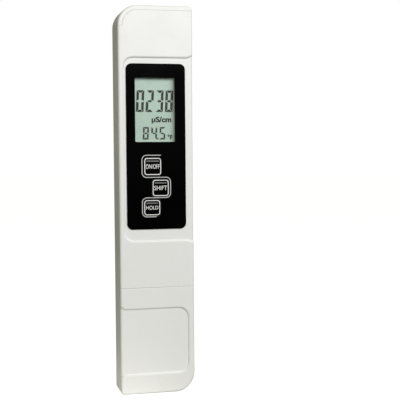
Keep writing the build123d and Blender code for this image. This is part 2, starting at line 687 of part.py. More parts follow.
# Button cells, with the rounded can and the raised cap face
for side, cell_x in (("left", -CELL_X), ("right", CELL_X)):
    with BuildPart() as cell:
        with BuildSketch(behind(CELL_FRONT)):
            with Locations((cell_x, CELL_Z)):
                Circle(CELL_R - 2 * CELL_CHAMFER)
        extrude(amount=-CELL_CHAMFER)
        with BuildSketch(behind(CELL_FRONT + CELL_CHAMFER)):
            with Locations((cell_x, CELL_Z)):
                Circle(CELL_R)
        extrude(amount=-(CELL_T - CELL_CHAMFER))
        chamfer(cell.edges().group_by(Axis.Y)[-1], CELL_CHAMFER)
    save(cell, f"{side}_cell")

# Contacts: a bridge in front of both cells, and a leaf with a tail behind each
with BuildPart() as contact_bridge:
    with BuildSketch(behind(TRAY_FRONT + TRAY_WALL)):
        with Locations(CELL_CENTRES):
            Circle(CONTACT_W / 2 + CONTACT_T)
    extrude(amount=-CONTACT_T)
save(contact_bridge, "contact_bridge")

for pole, cell_x in (("positive", -CELL_X), ("negative", CELL_X)):
    with BuildPart() as leaf:
        with BuildSketch(Plane.YZ.offset(cell_x - CONTACT_W / 2)):
            with BuildLine():
                leaf_y = FRONT_Y + CELL_BACK + CELL_CLEARANCE + CONTACT_T / 2
                tail_y = FRONT_Y + BOARD_BACK + CONTACT_T / 2
                Polyline(
                    (leaf_y, CELL_Z + CONTACT_W / 2),
                    (leaf_y, TRAY_LOW - CONTACT_T),
                    (tail_y, BOARD_HIGH + CONTACT_T),
                    (tail_y, BOARD_HIGH - CONTACT_TAIL),
                )
            trace(line_width=CONTACT_T)
        extrude(amount=CONTACT_W)
    save(leaf, f"{pole}_contact")

# Probe housing: neck in the case and the cap, then the slim probe
with BuildPart() as probe_housing:
    with BuildSketch(Plane.XY.offset(PROBE_TOP)):
        with Locations((0, CAVITY_Y)):
            RectangleRounded(NECK_W, NECK_D, CAVITY_R - SLIDE_GAP)
    extrude(amount=-(PROBE_TOP - PROBE_NECK_LOW))
    chamfer(probe_housing.faces().sort_by(Axis.Z)[0].edges(), SLIDE_GAP * 2)
    with BuildSketch(Plane.XY.offset(COLLAR_Z + FIT_GAP)):
        with Locations((0, CAVITY_Y)):
            collar_inset = 2 * (COLLAR_GRIP - FIT_GAP)
            RectangleRounded(CAVITY_W + collar_inset, CAVITY_D + collar_inset, CAVITY_R - FIT_GAP)
    extrude(amount=COLLAR_T - 2 * FIT_GAP)
    with BuildSketch(Plane.XY.offset(PROBE_NECK_LOW)):
        with Locations((0, CAVITY_Y)):
            RectangleRounded(PROBE_W, PROBE_D, PROBE_D / 2 - FIT_GAP)
    extrude(amount=-PROBE_LENGTH)
    # Groove for the seal
    with BuildSketch(Plane.XY.offset(SEAL_Z)):
        with Locations((0, CAVITY_Y)):
            Rectangle(WIDTH, DEPTH)
            RectangleRounded(NECK_W - 2 * SEAL_T, NECK_D - 2 * SEAL_T, CAVITY_R, mode=Mode.SUBTRACT)
    extrude(amount=SEAL_H, mode=Mode.SUBTRACT)
    # Hollow above the electrode seats
    with BuildSketch(Plane.XY.offset(PROBE_TOP)):
        with Locations((0, CAVITY_Y)):
            pocket_inset = 2 * (PROBE_POCKET_WALL + SEAL_T)
            RectangleRounded(NECK_W - pocket_inset, NECK_D - pocket_inset, CAVITY_R)
    extrude(amount=-(PROBE_TOP - PROBE_NECK_LOW - PROBE_FLOOR), mode=Mode.SUBTRACT)
    # Seats of the electrodes and the temperature sensor
    with BuildSketch(Plane.XY.offset(PROBE_LOW)):
        with Locations(ELECTRODE_CENTRES):
            Circle(ELECTRODE_R)
    extrude(amount=ELECTRODE_SHOULDER, mode=Mode.SUBTRACT)
    with BuildSketch(Plane.XY.offset(PROBE_LOW)):
        with Locations(ELECTRODE_CENTRES):
            Circle(ELECTRODE_TAIL_R)
        with Locations(SENSOR_LEG_CENTRES):
            Circle(SENSOR_LEG_R)
    extrude(amount=PROBE_TOP - PROBE_LOW, mode=Mode.SUBTRACT)
    with BuildSketch(Plane.XY.offset(PROBE_LOW)):
        with Locations((0, CAVITY_Y)):
            Circle(SENSOR_R)
    extrude(amount=SENSOR_IN, mode=Mode.SUBTRACT)
save(probe_housing, "probe_housing")

# Rubber seal round the neck
with BuildPart() as neck_seal:
    with BuildSketch(Plane.XY.offset(SEAL_Z)):
        with Locations((0, CAVITY_Y)):
            seal_out = SLIDE_GAP / 2
            RectangleRounded(NECK_W + seal_out, NECK_D + seal_out, CAVITY_R)
            RectangleRounded(NECK_W - 2 * SEAL_T, NECK_D - 2 * SEAL_T, CAVITY_R, mode=Mode.SUBTRACT)
    extrude(amount=SEAL_H)
save(neck_seal, "neck_seal")

# Electrode pins, turned from rod, with tails up to the board
for side, pin_x in (("left", -ELECTRODE_X), ("right", ELECTRODE_X)):
    with BuildPart() as electrode:
        with BuildSketch(Plane.XY.offset(PROBE_LOW - ELECTRODE_OUT)):
            with Locations((pin_x, CAVITY_Y)):
                Circle(ELECTRODE_R)
        extrude(amount=ELECTRODE_OUT + ELECTRODE_SHOULDER)
        fillet(electrode.edges().group_by(Axis.Z)[0], ELECTRODE_TIP_R)
        with BuildSketch(Plane.XY.offset(PROBE_LOW)):
            with Locations((pin_x, CAVITY_Y)):
                Circle(ELECTRODE_TAIL_R)
        extrude(amount=BOARD_LOW - PROBE_LOW)
    save(electrode, f"{side}_electrode")

# Temperature sensor: steel capsule with two legs
with BuildPart() as temperature_sensor:
    with BuildSketch(Plane.XY.offset(PROBE_LOW - SENSOR_OUT)):
        with Locations((0, CAVITY_Y)):
            Circle(SENSOR_R)
    extrude(amount=SENSOR_OUT + SENSOR_IN)
    fillet(temperature_sensor.edges().group_by(Axis.Z)[0], SENSOR_TIP_R)
    with BuildSketch(Plane.XY.offset(PROBE_LOW)):
        with Locations(SENSOR_LEG_CENTRES):
            Circle(SENSOR_LEG_R)
    extrude(amount=BOARD_LOW - PROBE_LOW)
save(temperature_sensor, "temperature_sensor")
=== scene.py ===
import bmesh
import bpy
import math
from mathutils import Matrix, Vector


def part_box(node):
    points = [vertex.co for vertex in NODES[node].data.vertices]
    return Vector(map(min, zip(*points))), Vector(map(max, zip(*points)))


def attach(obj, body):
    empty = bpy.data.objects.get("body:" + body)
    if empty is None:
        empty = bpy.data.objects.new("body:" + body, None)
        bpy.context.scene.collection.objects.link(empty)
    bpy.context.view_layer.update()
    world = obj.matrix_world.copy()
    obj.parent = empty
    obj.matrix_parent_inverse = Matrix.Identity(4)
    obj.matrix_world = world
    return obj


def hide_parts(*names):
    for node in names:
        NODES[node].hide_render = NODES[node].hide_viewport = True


# Water quality test pen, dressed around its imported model
# Lengths that a person would measure are millimetres here and metres in the meshes
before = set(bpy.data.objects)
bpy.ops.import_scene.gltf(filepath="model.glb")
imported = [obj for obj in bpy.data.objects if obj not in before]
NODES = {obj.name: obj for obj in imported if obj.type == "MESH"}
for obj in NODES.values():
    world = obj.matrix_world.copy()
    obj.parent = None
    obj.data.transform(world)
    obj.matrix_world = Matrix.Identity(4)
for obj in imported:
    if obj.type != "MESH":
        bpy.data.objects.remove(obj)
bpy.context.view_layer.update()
MM = 0.001


def tone(red, green, blue):
    """A screen colour of 0 to 255 as the linear colour that shaders take."""
    linear = []
    for value in (red, green, blue):
        share = value / 255
        linear.append(share / 12.92 if share <= 0.04045 else ((share + 0.055) / 1.055) ** 2.4)
    return (*linear, 1.0)


def box_mm(node):
    """The lowest and highest corner of a CAD node in millimetres."""
    low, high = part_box(node)
    return low / MM, high / MM


# Shader groups that several finishes share
def new_group(name, inputs, outputs):
    """An empty shader group with named number or colour sockets."""
    kinds = {"number": "NodeSocketFloat", "colour": "NodeSocketColor", "vector": "NodeSocketVector"}
    group = bpy.data.node_groups.new(name, "ShaderNodeTree")
    for title, kind, value in inputs:
        socket = group.interface.new_socket(title, in_out="INPUT", socket_type=kinds[kind])
        if value is not None:
            socket.default_value = value
    for title, kind in outputs:
        group.interface.new_socket(title, in_out="OUTPUT", socket_type=kinds[kind])
    return group, group.nodes.new("NodeGroupInput"), group.nodes.new("NodeGroupOutput")


def add_node(tree, kind, settings=None, **inputs):
    """A node with its settings; an input takes a value or the socket that feeds it."""
    node = tree.nodes.new(kind)
    for key, value in (settings or {}).items():
        setattr(node, key, value)
    for key, value in inputs.items():
        key = key.replace("_", " ")
        socket = node.inputs[int(key[5:])] if key.startswith("input") else node.inputs[key]
        if isinstance(value, bpy.types.NodeSocket):
            tree.links.new(value, socket)
        else:
            socket.default_value = value
    return node


def calculate(tree, operation, *values):
    """The result of one step of arithmetic on numbers or sockets."""
    inputs = {f"input{place}": value for place, value in enumerate(values)}
    return add_node(tree, "ShaderNodeMath", {"operation": operation}, **inputs).outputs[0]


def ranged(tree, value, from_low, from_high, to_low=0.0, to_high=1.0):
    """A number moved from one range to another and held inside it."""
    return add_node(tree, "ShaderNodeMapRange", {"clamp": True}, Value=value, From_Min=from_low,
                    From_Max=from_high, To_Min=to_low, To_Max=to_high).outputs[0]


def own_place(tree):
    """Where a point is on its own piece."""
    return add_node(tree, "ShaderNodeTexCoord").outputs["Object"]


def moulded_grain_group():
    """Fine spark-eroded grain of a mould, with slow swells of the moulded wall under it."""
    group, ins, outs = new_group(
        "moulded grain",
        [("Grain Size", "number", 0.25), ("Swell", "number", 0.3)],
        [("Height", "number")],
    )
    place = own_place(group)
    scale = calculate(group, "DIVIDE", 1 / MM, ins.outputs["Grain Size"])
    fine = add_node(group, "ShaderNodeTexNoise", Vector=place, Scale=scale, Detail=3.0, Roughness=0.6)
    slow = add_node(group, "ShaderNodeTexNoise", Vector=place, Scale=60.0, Detail=1.0)
    swell = calculate(group, "MULTIPLY", slow.outputs["Fac"], ins.outputs["Swell"])
    group.links.new(calculate(group, "ADD", fine.outputs["Fac"], swell), outs.inputs["Height"])
    return group


def edge_wear_group():
    """Where edges are: a mask for wear, and a normal that rounds the edge."""
    group, ins, outs = new_group(
        "edge wear",
        [("Edge Width", "number", 0.15), ("Breakup", "number", 0.5)],
        [("Mask", "number"), ("Normal", "vector")],
    )
    radius = calculate(group, "MULTIPLY", ins.outputs["Edge Width"], MM)
    rounded = add_node(group, "ShaderNodeBevel", {"samples": 4}, Radius=radius)
    true_normal = add_node(group, "ShaderNodeNewGeometry").outputs["Normal"]
    same = add_node(group, "ShaderNodeVectorMath", {"operation": "DOT_PRODUCT"}, input0=rounded.outputs[0],
                    input1=true_normal)
    bent = ranged(group, same.outputs["Value"], 0.995, 0.8)
    chips = add_node(group, "ShaderNodeTexNoise", Vector=own_place(group), Scale=700.0, Detail=4.0)
    kept = calculate(group, "GREATER_THAN", chips.outputs["Fac"], ins.outputs["Breakup"])
    group.links.new(calculate(group, "MULTIPLY", bent, kept), outs.inputs["Mask"])
    group.links.new(rounded.outputs[0], outs.inputs["Normal"])
    return group


def handling_group():
    """Soft patches where hands have polished or dulled a surface."""
    group, ins, outs = new_group("handling", [("Patch Size", "number", 12.0)], [("Mask", "number")])
    scale = calculate(group, "DIVIDE", 1 / MM, ins.outputs["Patch Size"])
    broad = add_node(group, "ShaderNodeTexNoise", Vector=own_place(group), Scale=scale, Detail=5.0,
                     Roughness=0.65)
    group.links.new(ranged(group, broad.outputs["Fac"], 0.35, 0.68), outs.inputs["Mask"])
    return group


GRAIN = moulded_grain_group()
WEAR = edge_wear_group()
HANDLING = handling_group()


def use_group(tree, group, **inputs):
    """Place a shared group in a material with its own values."""
    return add_node(tree, "ShaderNodeGroup", {"node_tree": group}, **inputs)


def new_finish(name):
    """An empty node material and its output node."""
    material = bpy.data.materials.new(name)
    material.use_nodes = True
    tree = material.node_tree
    tree.nodes.clear()
    return material, tree, tree.nodes.new("ShaderNodeOutputMaterial")


def mix_colour(tree, factor, first, second):
    """Mix two colours by a mask."""
    node = tree.nodes.new("ShaderNodeMix")
    node.data_type = "RGBA"
    tree.links.new(factor, node.inputs["Factor"])
    for socket, value in zip([s for s in node.inputs if s.type == "RGBA"], (first, second)):
        if isinstance(value, bpy.types.NodeSocket):
            tree.links.new(value, socket)
        else:
            socket.default_value = value
    return next(s for s in node.outputs if s.type == "RGBA")


def lay_bump(tree, shader, height, normal, depth):
    """Fine relief, depth millimetres deep, over rounded edges."""
    bump = add_node(tree, "ShaderNodeBump", Height=height, Normal=normal, Distance=depth * MM)
    tree.links.new(bump.outputs[0], shader.inputs["Normal"])


def solid_finish(name, colour, patch_colour, worn_colour, rough=(0.35, 0.5), grain=0.25, grain_depth=0.01,
                 edge=0.15, breakup=0.5, patch=12.0, shine=0.5, coat=0.0, swell=0.3):
    """A moulded, printed or rubber finish: colour by handling and wear, and grain as bump."""
    material, tree, output = new_finish(name)
    shader = add_node(tree, "ShaderNodeBsdfPrincipled", Specular_IOR_Level=shine, Coat_Weight=coat)
    handled = use_group(tree, HANDLING, Patch_Size=patch).outputs["Mask"]
    worn = use_group(tree, WEAR, Edge_Width=edge, Breakup=breakup)
    grained = use_group(tree, GRAIN, Grain_Size=grain, Swell=swell)
    base = mix_colour(tree, handled, tone(*colour), tone(*patch_colour))
    base = mix_colour(tree, worn.outputs["Mask"], base, tone(*worn_colour))
    tree.links.new(base, shader.inputs["Base Color"])
    tree.links.new(ranged(tree, handled, 0.0, 1.0, *rough), shader.inputs["Roughness"])
    lay_bump(tree, shader, grained.outputs["Height"], worn.outputs["Normal"], grain_depth)
    tree.links.new(shader.outputs[0], output.inputs["Surface"])
    return material


def metal_finish(name, colour, dull_colour, lines, rough=(0.22, 0.34), depth=0.002, edge=0.06):
    """Drawn, turned or plated metal; lines says how many fine lines a millimetre has along X, Y and Z."""
    material, tree, output = new_finish(name)
    shader = add_node(tree, "ShaderNodeBsdfPrincipled", Metallic=1.0)
    stretched = add_node(tree, "ShaderNodeVectorMath", {"operation": "MULTIPLY"}, input0=own_place(tree),
                         input1=[count / MM for count in lines])
    fine = add_node(tree, "ShaderNodeTexNoise", Vector=stretched.outputs[0], Scale=1.0, Detail=3.0,
                    Roughness=0.7).outputs["Fac"]
    handled = use_group(tree, HANDLING, Patch_Size=3.0).outputs["Mask"]
    worn = use_group(tree, WEAR, Edge_Width=edge, Breakup=0.4)
    clean = tone(*colour)
    bright = tuple(min(1.0, part * 1.15) for part in clean[:3]) + (1.0,)
    base = mix_colour(tree, handled, clean, tone(*dull_colour))
    tree.links.new(mix_colour(tree, worn.outputs["Mask"], base, bright), shader.inputs["Base Color"])
    streaks = calculate(tree, "ADD", fine, handled)
    tree.links.new(ranged(tree, streaks, 0.0, 1.5, *rough), shader.inputs["Roughness"])
    lay_bump(tree, shader, fine, worn.outputs["Normal"], depth)
    tree.links.new(shader.outputs[0], output.inputs["Surface"])
    return material


def layered_finish(name, colour, second_colour, pitch):
    """Thin layers across the width, dark and pale in turn, as in contact rubber."""
    material, tree, output = new_finish(name)
    shader = add_node(tree, "ShaderNodeBsdfPrincipled", Roughness=0.62)
    apart = add_node(tree, "ShaderNodeSeparateXYZ", Vector=own_place(tree))
    turns = calculate(tree, "MULTIPLY", apart.outputs["X"], 2 * math.pi / (pitch * MM))
    layer = calculate(tree, "GREATER_THAN", calculate(tree, "SINE", turns), 0.0)
    worn = use_group(tree, WEAR, Edge_Width=0.05, Breakup=0.5)
    grained = use_group(tree, GRAIN, Grain_Size=0.1, Swell=0.1)
    base = mix_colour(tree, layer, tone(*colour), tone(*second_colour))
    tree.links.new(base, shader.inputs["Base Color"])
    lay_bump(tree, shader, grained.outputs["Height"], worn.outputs["Normal"], 0.01)
    tree.links.new(shader.outputs[0], output.inputs["Surface"])
    return material


def clear_finish(name, tint):
    """Clear moulded acrylic: lamps shine through it, and faint wipe marks dull it."""
    material, tree, output = new_finish(name)
    shader = add_node(tree, "ShaderNodeBsdfPrincipled", Base_Color=tint, Transmission_Weight=1.0, IOR=1.49,
                      Specular_IOR_Level=0.1)
    handled = use_group(tree, HANDLING, Patch_Size=3.0).outputs["Mask"]
    tree.links.new(ranged(tree, handled, 0.0, 1.0, 0.015, 0.05), shader.inputs["Roughness"])
    see_through = add_node(tree, "ShaderNodeBsdfTransparent", Color=tint)
    path = tree.nodes.new("ShaderNodeLightPath")
    lit = calculate(tree, "MAXIMUM", path.outputs["Is Shadow Ray"], path.outputs["Is Diffuse Ray"])
    mixed = add_node(tree, "ShaderNodeMixShader", input0=lit, input1=shader.outputs[0],
                     input2=see_through.outputs[0])
    tree.links.new(mixed.outputs[0], output.inputs["Surface"])
    return material


SHELL_WHITE = solid_finish("satin white shell", (239, 240, 240), (236, 237, 236), (243, 244, 244),
                           rough=(0.34, 0.46), grain=0.22, grain_depth=0.006, edge=0.22, breakup=0.42)
OVERLAY_BLACK = solid_finish("black printed film", (2, 2, 3), (3, 3, 4), (10, 10, 11),
                             rough=(0.1, 0.16), grain=0.12, grain_depth=0.001, edge=0.06, shine=0.05)
INK = dict(rough=(0.45, 0.6), grain=0.08, grain_depth=0.002, edge=0.03, breakup=0.62, shine=0.3)
PRINT_PALE = solid_finish("pale ink", (250, 251, 251), (243, 244, 244), (205, 205, 205), **INK)
PRINT_GREY = solid_finish("grey ink", (200, 202, 202), (190, 192, 192), (160, 160, 160), **INK)
BAR_GREY = solid_finish("mid grey ink", (128, 130, 130), (116, 118, 118), (90, 90, 90), **INK)
DISPLAY_GREEN = solid_finish("grey-green display", (182, 203, 194), (178, 200, 190), (140, 158, 148),
                             rough=(0.25, 0.35), grain=0.1, grain_depth=0.001, edge=0.05, patch=5.0)
SEGMENT_DARK = solid_finish("dark display segment", (4, 9, 8), (7, 12, 11), (14, 20, 18),
                            rough=(0.4, 0.5), grain=0.1, grain_depth=0.001, edge=0.02, shine=0.2)
LENS_CLEAR = clear_finish("clear acrylic lens", (0.97, 0.985, 0.975, 1.0))
KEY_WHITE = solid_finish("white key plastic", (228, 228, 222), (220, 220, 213), (238, 238, 233),
                         rough=(0.4, 0.52), grain=0.18, grain_depth=0.008, edge=0.1, patch=4.0)
FRAME_GREY = solid_finish("pale frame plastic", (205, 206, 202), (194, 195, 190), (222, 222, 219),
                          rough=(0.42, 0.55), grain=0.2, grain_depth=0.01, edge=0.08, patch=6.0)
TRAY_BLACK = solid_finish("black tray plastic", (46, 47, 49), (38, 39, 41), (72, 73, 75),
                          rough=(0.42, 0.58), grain=0.24, grain_depth=0.012, edge=0.1, patch=5.0)
SWITCH_BLACK = solid_finish("black switch case", (34, 34, 35), (28, 28, 29), (58, 58, 59),
                            rough=(0.45, 0.6), grain=0.15, grain_depth=0.01, edge=0.06, patch=3.0)
STEM_BROWN = solid_finish("red-brown switch stem", (126, 54, 40), (112, 46, 34), (160, 86, 68),
                          rough=(0.4, 0.52), grain=0.15, grain_depth=0.008, edge=0.06, patch=2.0)
PROBE_WHITE = solid_finish("white probe plastic", (232, 232, 227), (226, 226, 219), (241, 241, 238),
                           rough=(0.24, 0.38), grain=0.22, grain_depth=0.005, edge=0.14, patch=9.0)
SEAL_BLACK = solid_finish("soft black rubber", (34, 34, 35), (48, 48, 49), (62, 62, 62),
                          rough=(0.55, 0.75), grain=0.12, grain_depth=0.01, edge=0.1, patch=3.0, shine=0.35)
MASK_GREEN = solid_finish("green solder mask", (24, 92, 52), (20, 80, 46), (120, 128, 84),
                          rough=(0.22, 0.34), grain=0.6, grain_depth=0.014, edge=0.05, breakup=0.35,
                          patch=7.0, coat=0.3)
TRACK_GREEN = solid_finish("masked copper track", (44, 124, 70), (36, 108, 60), (70, 150, 92),
                           rough=(0.2, 0.3), grain=0.3, grain_depth=0.004, edge=0.04, patch=5.0, coat=0.3)
RESIN_BLACK = solid_finish("black potting resin", (22, 22, 23), (30, 30, 31), (44, 44, 45),
                           rough=(0.12, 0.3), grain=1.4, grain_depth=0.05, edge=0.1, patch=3.0, coat=0.4,
                           swell=1.0)
PART_BLACK = solid_finish("black moulded component", (36, 35, 34), (44, 43, 42), (70, 69, 68),
                          rough=(0.4, 0.55), grain=0.1, grain_depth=0.006, edge=0.05, patch=1.5)
SLEEVE_BLUE = solid_finish("dark blue sleeve", (32, 44, 76), (27, 38, 66), (64, 76, 108),
                           rough=(0.25, 0.38), grain=0.3, grain_depth=0.006, edge=0.08, patch=3.0)
GASKET_WHITE = solid_finish("pale nylon gasket", (206, 204, 190), (194, 191, 176), (222, 221, 210),
                            rough=(0.45, 0.58), grain=0.1, grain_depth=0.005, edge=0.03, patch=2.0)
CELL_NICKEL = metal_finish("nickel plated can", (196, 195, 192), (178, 176, 172), (0.8, 8.0, 0.8))
SCREW_ZINC = metal_finish("zinc plated screw", (186, 188, 190), (158, 160, 164), (3.0, 6.0, 3.0),
                          rough=(0.28, 0.42))
CAN_STEEL = metal_finish("drawn crystal can", (200, 200, 202), (180, 180, 184), (10.0, 1.0, 1.0))
CONTACT_BRASS = metal_finish("plated contact sheet", (206, 196, 168), (182, 170, 140), (9.0, 9.0, 0.8))
PIN_TITANIUM = metal_finish("turned titanium pin", (160, 158, 154), (138, 136, 134), (0.3, 0.3, 12.0),
                            rough=(0.3, 0.45), depth=0.004)
SENSOR_STEEL = metal_finish("drawn steel capsule", (190, 190, 190), (168, 168, 170), (6.0, 6.0, 0.6),
                            rough=(0.18, 0.3))
SOLDER_TIN = metal_finish("tinned solder", (194, 196, 198), (168, 170, 172), (3.0, 3.0, 3.0),
                          rough=(0.2, 0.45), depth=0.01)
SLEEVE_END = metal_finish("capacitor end", (204, 205, 207), (186, 187, 190), (1.0, 5.0, 5.0))
STRIP_RUBBER = layered_finish("layered contact rubber", (52, 52, 54), (176, 176, 178), 0.18)


# Flat printed shapes, drawn as width and height on the front face
def rectangle(low_x, low_z, high_x, high_z):
    """The corners of an upright rectangle."""
    return [(low_x, low_z), (high_x, low_z), (high_x, high_z), (low_x, high_z)]


def rounded_path(corners, radii, closed=True, steps=8):
    """Points along a run of straights whose corners are rounded."""
    points = []
    count = len(corners)
    for place, (corner, radius) in enumerate(zip(corners, radii)):
        here = Vector(corner)
        if radius == 0 or (not closed and place in (0, count - 1)):
            points.append(here)
            continue
        to_last = (Vector(corners[place - 1]) - here).normalized()
        to_next = (Vector(corners[(place + 1) % count]) - here).normalized()
        half_angle = to_last.angle(to_next) / 2
        middle = here + (to_last + to_next).normalized() * radius / math.sin(half_angle)
        start = here + to_last * radius / math.tan(half_angle) - middle
        end = here + to_next * radius / math.tan(half_angle) - middle
        turn = start.angle_signed(end)
        for step in range(steps + 1):
            points.append(middle + Matrix.Rotation(-turn * step / steps, 2) @ start)
    return points


def band_faces(points, width, closed):
    """Quads of a band of even width along a line."""
    sides = []
    count = len(points)
    for place, here in enumerate(points):
        last = points[place - 1] if closed or place > 0 else None
        following = points[(place + 1) % count] if closed or place < count - 1 else None
        steps = (here - last if last else None, following - here if following else None)
        runs = [run.normalized() for run in steps if run is not None]
        along = sum(runs, Vector((0, 0))).normalized()
        across = Vector((-along.y, along.x)) * width / 2
        if len(runs) == 2:
            across = across / max(along.dot(runs[0]), 0.3)
        sides.append((here + across, here - across))
    pairs = zip(sides, sides[1:] + sides[:1]) if closed else zip(sides, sides[1:])
    return [(left, right, next_right, next_left) for (left, right), (next_left, next_right) in pairs]


def plate(name, outlines, front_y, thick, finish, body):
    """A thin plate of flat outlines, its face at front_y, towards the reader."""
    mesh = bpy.data.meshes.new(name)
    shape = bmesh.new()
    for outline in outlines:
        shape.faces.new([shape.verts.new((p[0] * MM, front_y * MM, p[1] * MM)) for p in outline])
    bmesh.ops.remove_doubles(shape, verts=shape.verts, dist=0.002 * MM)
    bmesh.ops.recalc_face_normals(shape, faces=shape.faces)
    shape.normal_update()
    for face in shape.faces:
        if face.normal.y > 0:
            face.normal_flip()
    grown = bmesh.ops.extrude_face_region(shape, geom=shape.faces[:])
    backs = [item for item in grown["geom"] if isinstance(item, bmesh.types.BMVert)]
    bmesh.ops.translate(shape, verts=backs, vec=(0, thick * MM, 0))
    bmesh.ops.recalc_face_normals(shape, faces=shape.faces)
    shape.to_mesh(mesh)
    shape.free()
    return add_piece(name, mesh, finish, body)


def add_piece(name, mesh, finish, body, replaced=()):
    """Put a finished mesh in the scene, riding on its body."""
    piece = bpy.data.objects.new(name, mesh)
    bpy.context.scene.collection.objects.link(piece)
    mesh.materials.clear()
    mesh.materials.append(finish)
    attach(piece, body)
    if replaced:
        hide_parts(*replaced)
    return piece


def repeat_group():
    """Copies of one small object at marked spots, each turned as its spot says."""
    group = bpy.data.node_groups.new("copies at spots", "GeometryNodeTree")
    for title, kind in (("Spots", "Geometry"), ("Unit", "Object"), ("Finish", "Material")):
        group.interface.new_socket(title, in_out="INPUT", socket_type=f"NodeSocket{kind}")
    group.interface.new_socket("Copies", in_out="OUTPUT", socket_type="NodeSocketGeometry")
    ins = group.nodes.new("NodeGroupInput")
    outs = group.nodes.new("NodeGroupOutput")
    unit = group.nodes.new("GeometryNodeObjectInfo")
    turn = group.nodes.new("GeometryNodeInputNamedAttribute")
    turn.data_type = "FLOAT_VECTOR"
    turn.inputs["Name"].default_value = "turn"
    angle = group.nodes.new("FunctionNodeEulerToRotation")
    copies = group.nodes.new("GeometryNodeInstanceOnPoints")
    whole = group.nodes.new("GeometryNodeRealizeInstances")
    dressed = group.nodes.new("GeometryNodeSetMaterial")
    group.links.new(ins.outputs["Unit"], unit.inputs["Object"])
    group.links.new(turn.outputs["Attribute"], angle.inputs["Euler"])
    group.links.new(ins.outputs["Spots"], copies.inputs["Points"])
    group.links.new(unit.outputs["Geometry"], copies.inputs["Instance"])
    group.links.new(angle.outputs["Rotation"], copies.inputs["Rotation"])
    group.links.new(copies.outputs["Instances"], whole.inputs["Geometry"])
    group.links.new(whole.outputs["Geometry"], dressed.inputs["Geometry"])
    group.links.new(ins.outputs["Finish"], dressed.inputs["Material"])
    group.links.new(dressed.outputs["Geometry"], outs.inputs["Copies"])
    return group


REPEAT = repeat_group()


def repeat(name, unit_mesh, spots, finish, body, replaced=()):
    """Copies of a small mesh; each spot is a place in millimetres and a turn in degrees."""
    unit = bpy.data.objects.new(name + "_unit", unit_mesh)
    marks = bpy.data.meshes.new(name + "_spots")
    marks.from_pydata([Vector(place) * MM for place, turn in spots], [], [])
    turns = marks.attributes.new("turn", "FLOAT_VECTOR", "POINT")
    for entry, (place, turn) in zip(turns.data, spots):
        entry.vector = [math.radians(angle) for angle in turn]
    maker = bpy.data.objects.new(name + "_maker", marks)
    for helper in (unit, maker):
        bpy.context.scene.collection.objects.link(helper)
    modifier = maker.modifiers.new("copies", "NODES")
    modifier.node_group = REPEAT
    sockets = {item.name: item.identifier for item in REPEAT.interface.items_tree if item.in_out == "INPUT"}
    modifier[sockets["Unit"]] = unit
    modifier[sockets["Finish"]] = finish
    maker.update_tag()
    bpy.context.view_layer.update()
    mesh = bpy.data.meshes.new_from_object(maker.evaluated_get(bpy.context.evaluated_depsgraph_get()))
    maker.modifiers.clear()
    for helper in (unit, maker):
        bpy.data.objects.remove(helper)
    mesh.name = name
    return add_piece(name, mesh, finish, body, replaced)


def smooth_mesh(name, shape, sharp_angle=38):
    """A bmesh made into a mesh that is smooth but for its sharp edges."""
    bmesh.ops.recalc_face_normals(shape, faces=shape.faces)
    mesh = bpy.data.meshes.new(name)
    shape.to_mesh(mesh)
    shape.free()
    mesh.shade_smooth()
    mesh.set_sharp_from_angle(angle=math.radians(sharp_angle))
    return mesh


def add_loops(shape, loops, ring=False):
    """Close a run of point loops into one skin; a ring also joins its last loop to its first."""
    rows = [[shape.verts.new(Vector(point) * MM) for point in loop] for loop in loops]
    for low, high in zip(rows, rows[1:] + (rows[:1] if ring else [])):
        for place in range(len(low)):
            after = (place + 1) % len(low)
            shape.faces.new((low[place], low[after], high[after], high[place]))
    if not ring:
        shape.faces.new(rows[0][::-1])
        shape.faces.new(rows[-1])


def turned(name, rows, segments=32, ring=False):
    """A form turned about Z; each row is a radius and height, or gives them at an angle."""
    shape = bmesh.new()
    loops = []
    for row in rows:
        loop = []
        for step in range(segments):
            angle = 2 * math.pi * step / segments
            radius, height = row(angle) if callable(row) else row
            loop.append((radius * math.cos(angle), radius * math.sin(angle), height))
        loops.append(loop)
    add_loops(shape, loops, ring)
    return smooth_mesh(name, shape)


def add_wire(shape, points, radius, sides=10):
    """A round wire along a run of points, in an open bmesh."""
    points = [Vector(point) for point in points]
    loops = []
    for place, here in enumerate(points):
        before = points[max(place - 1, 0)]
        after = points[min(place + 1, len(points) - 1)]
        along = (after - before).normalized()
        side = along.orthogonal().normalized() if not loops else (side - along * side.dot(along)).normalized()
        across = along.cross(side)
        loops.append([here + radius * (math.cos(2 * math.pi * step / sides) * side
                                       + math.sin(2 * math.pi * step / sides) * across)
                      for step in range(sides)])
    add_loops(shape, loops)


def rounded_block(name, width, depth, height, edge):
    """A small block with its edges rounded, standing on its middle."""
    shape = bmesh.new()
    bmesh.ops.create_cube(shape, size=1.0)
    bmesh.ops.scale(shape, vec=(width * MM, depth * MM, height * MM), verts=shape.verts)
    bmesh.ops.bevel(shape, geom=shape.edges[:], offset=edge * MM, segments=2, affect="EDGES", profile=0.5)
    return smooth_mesh(name, shape)


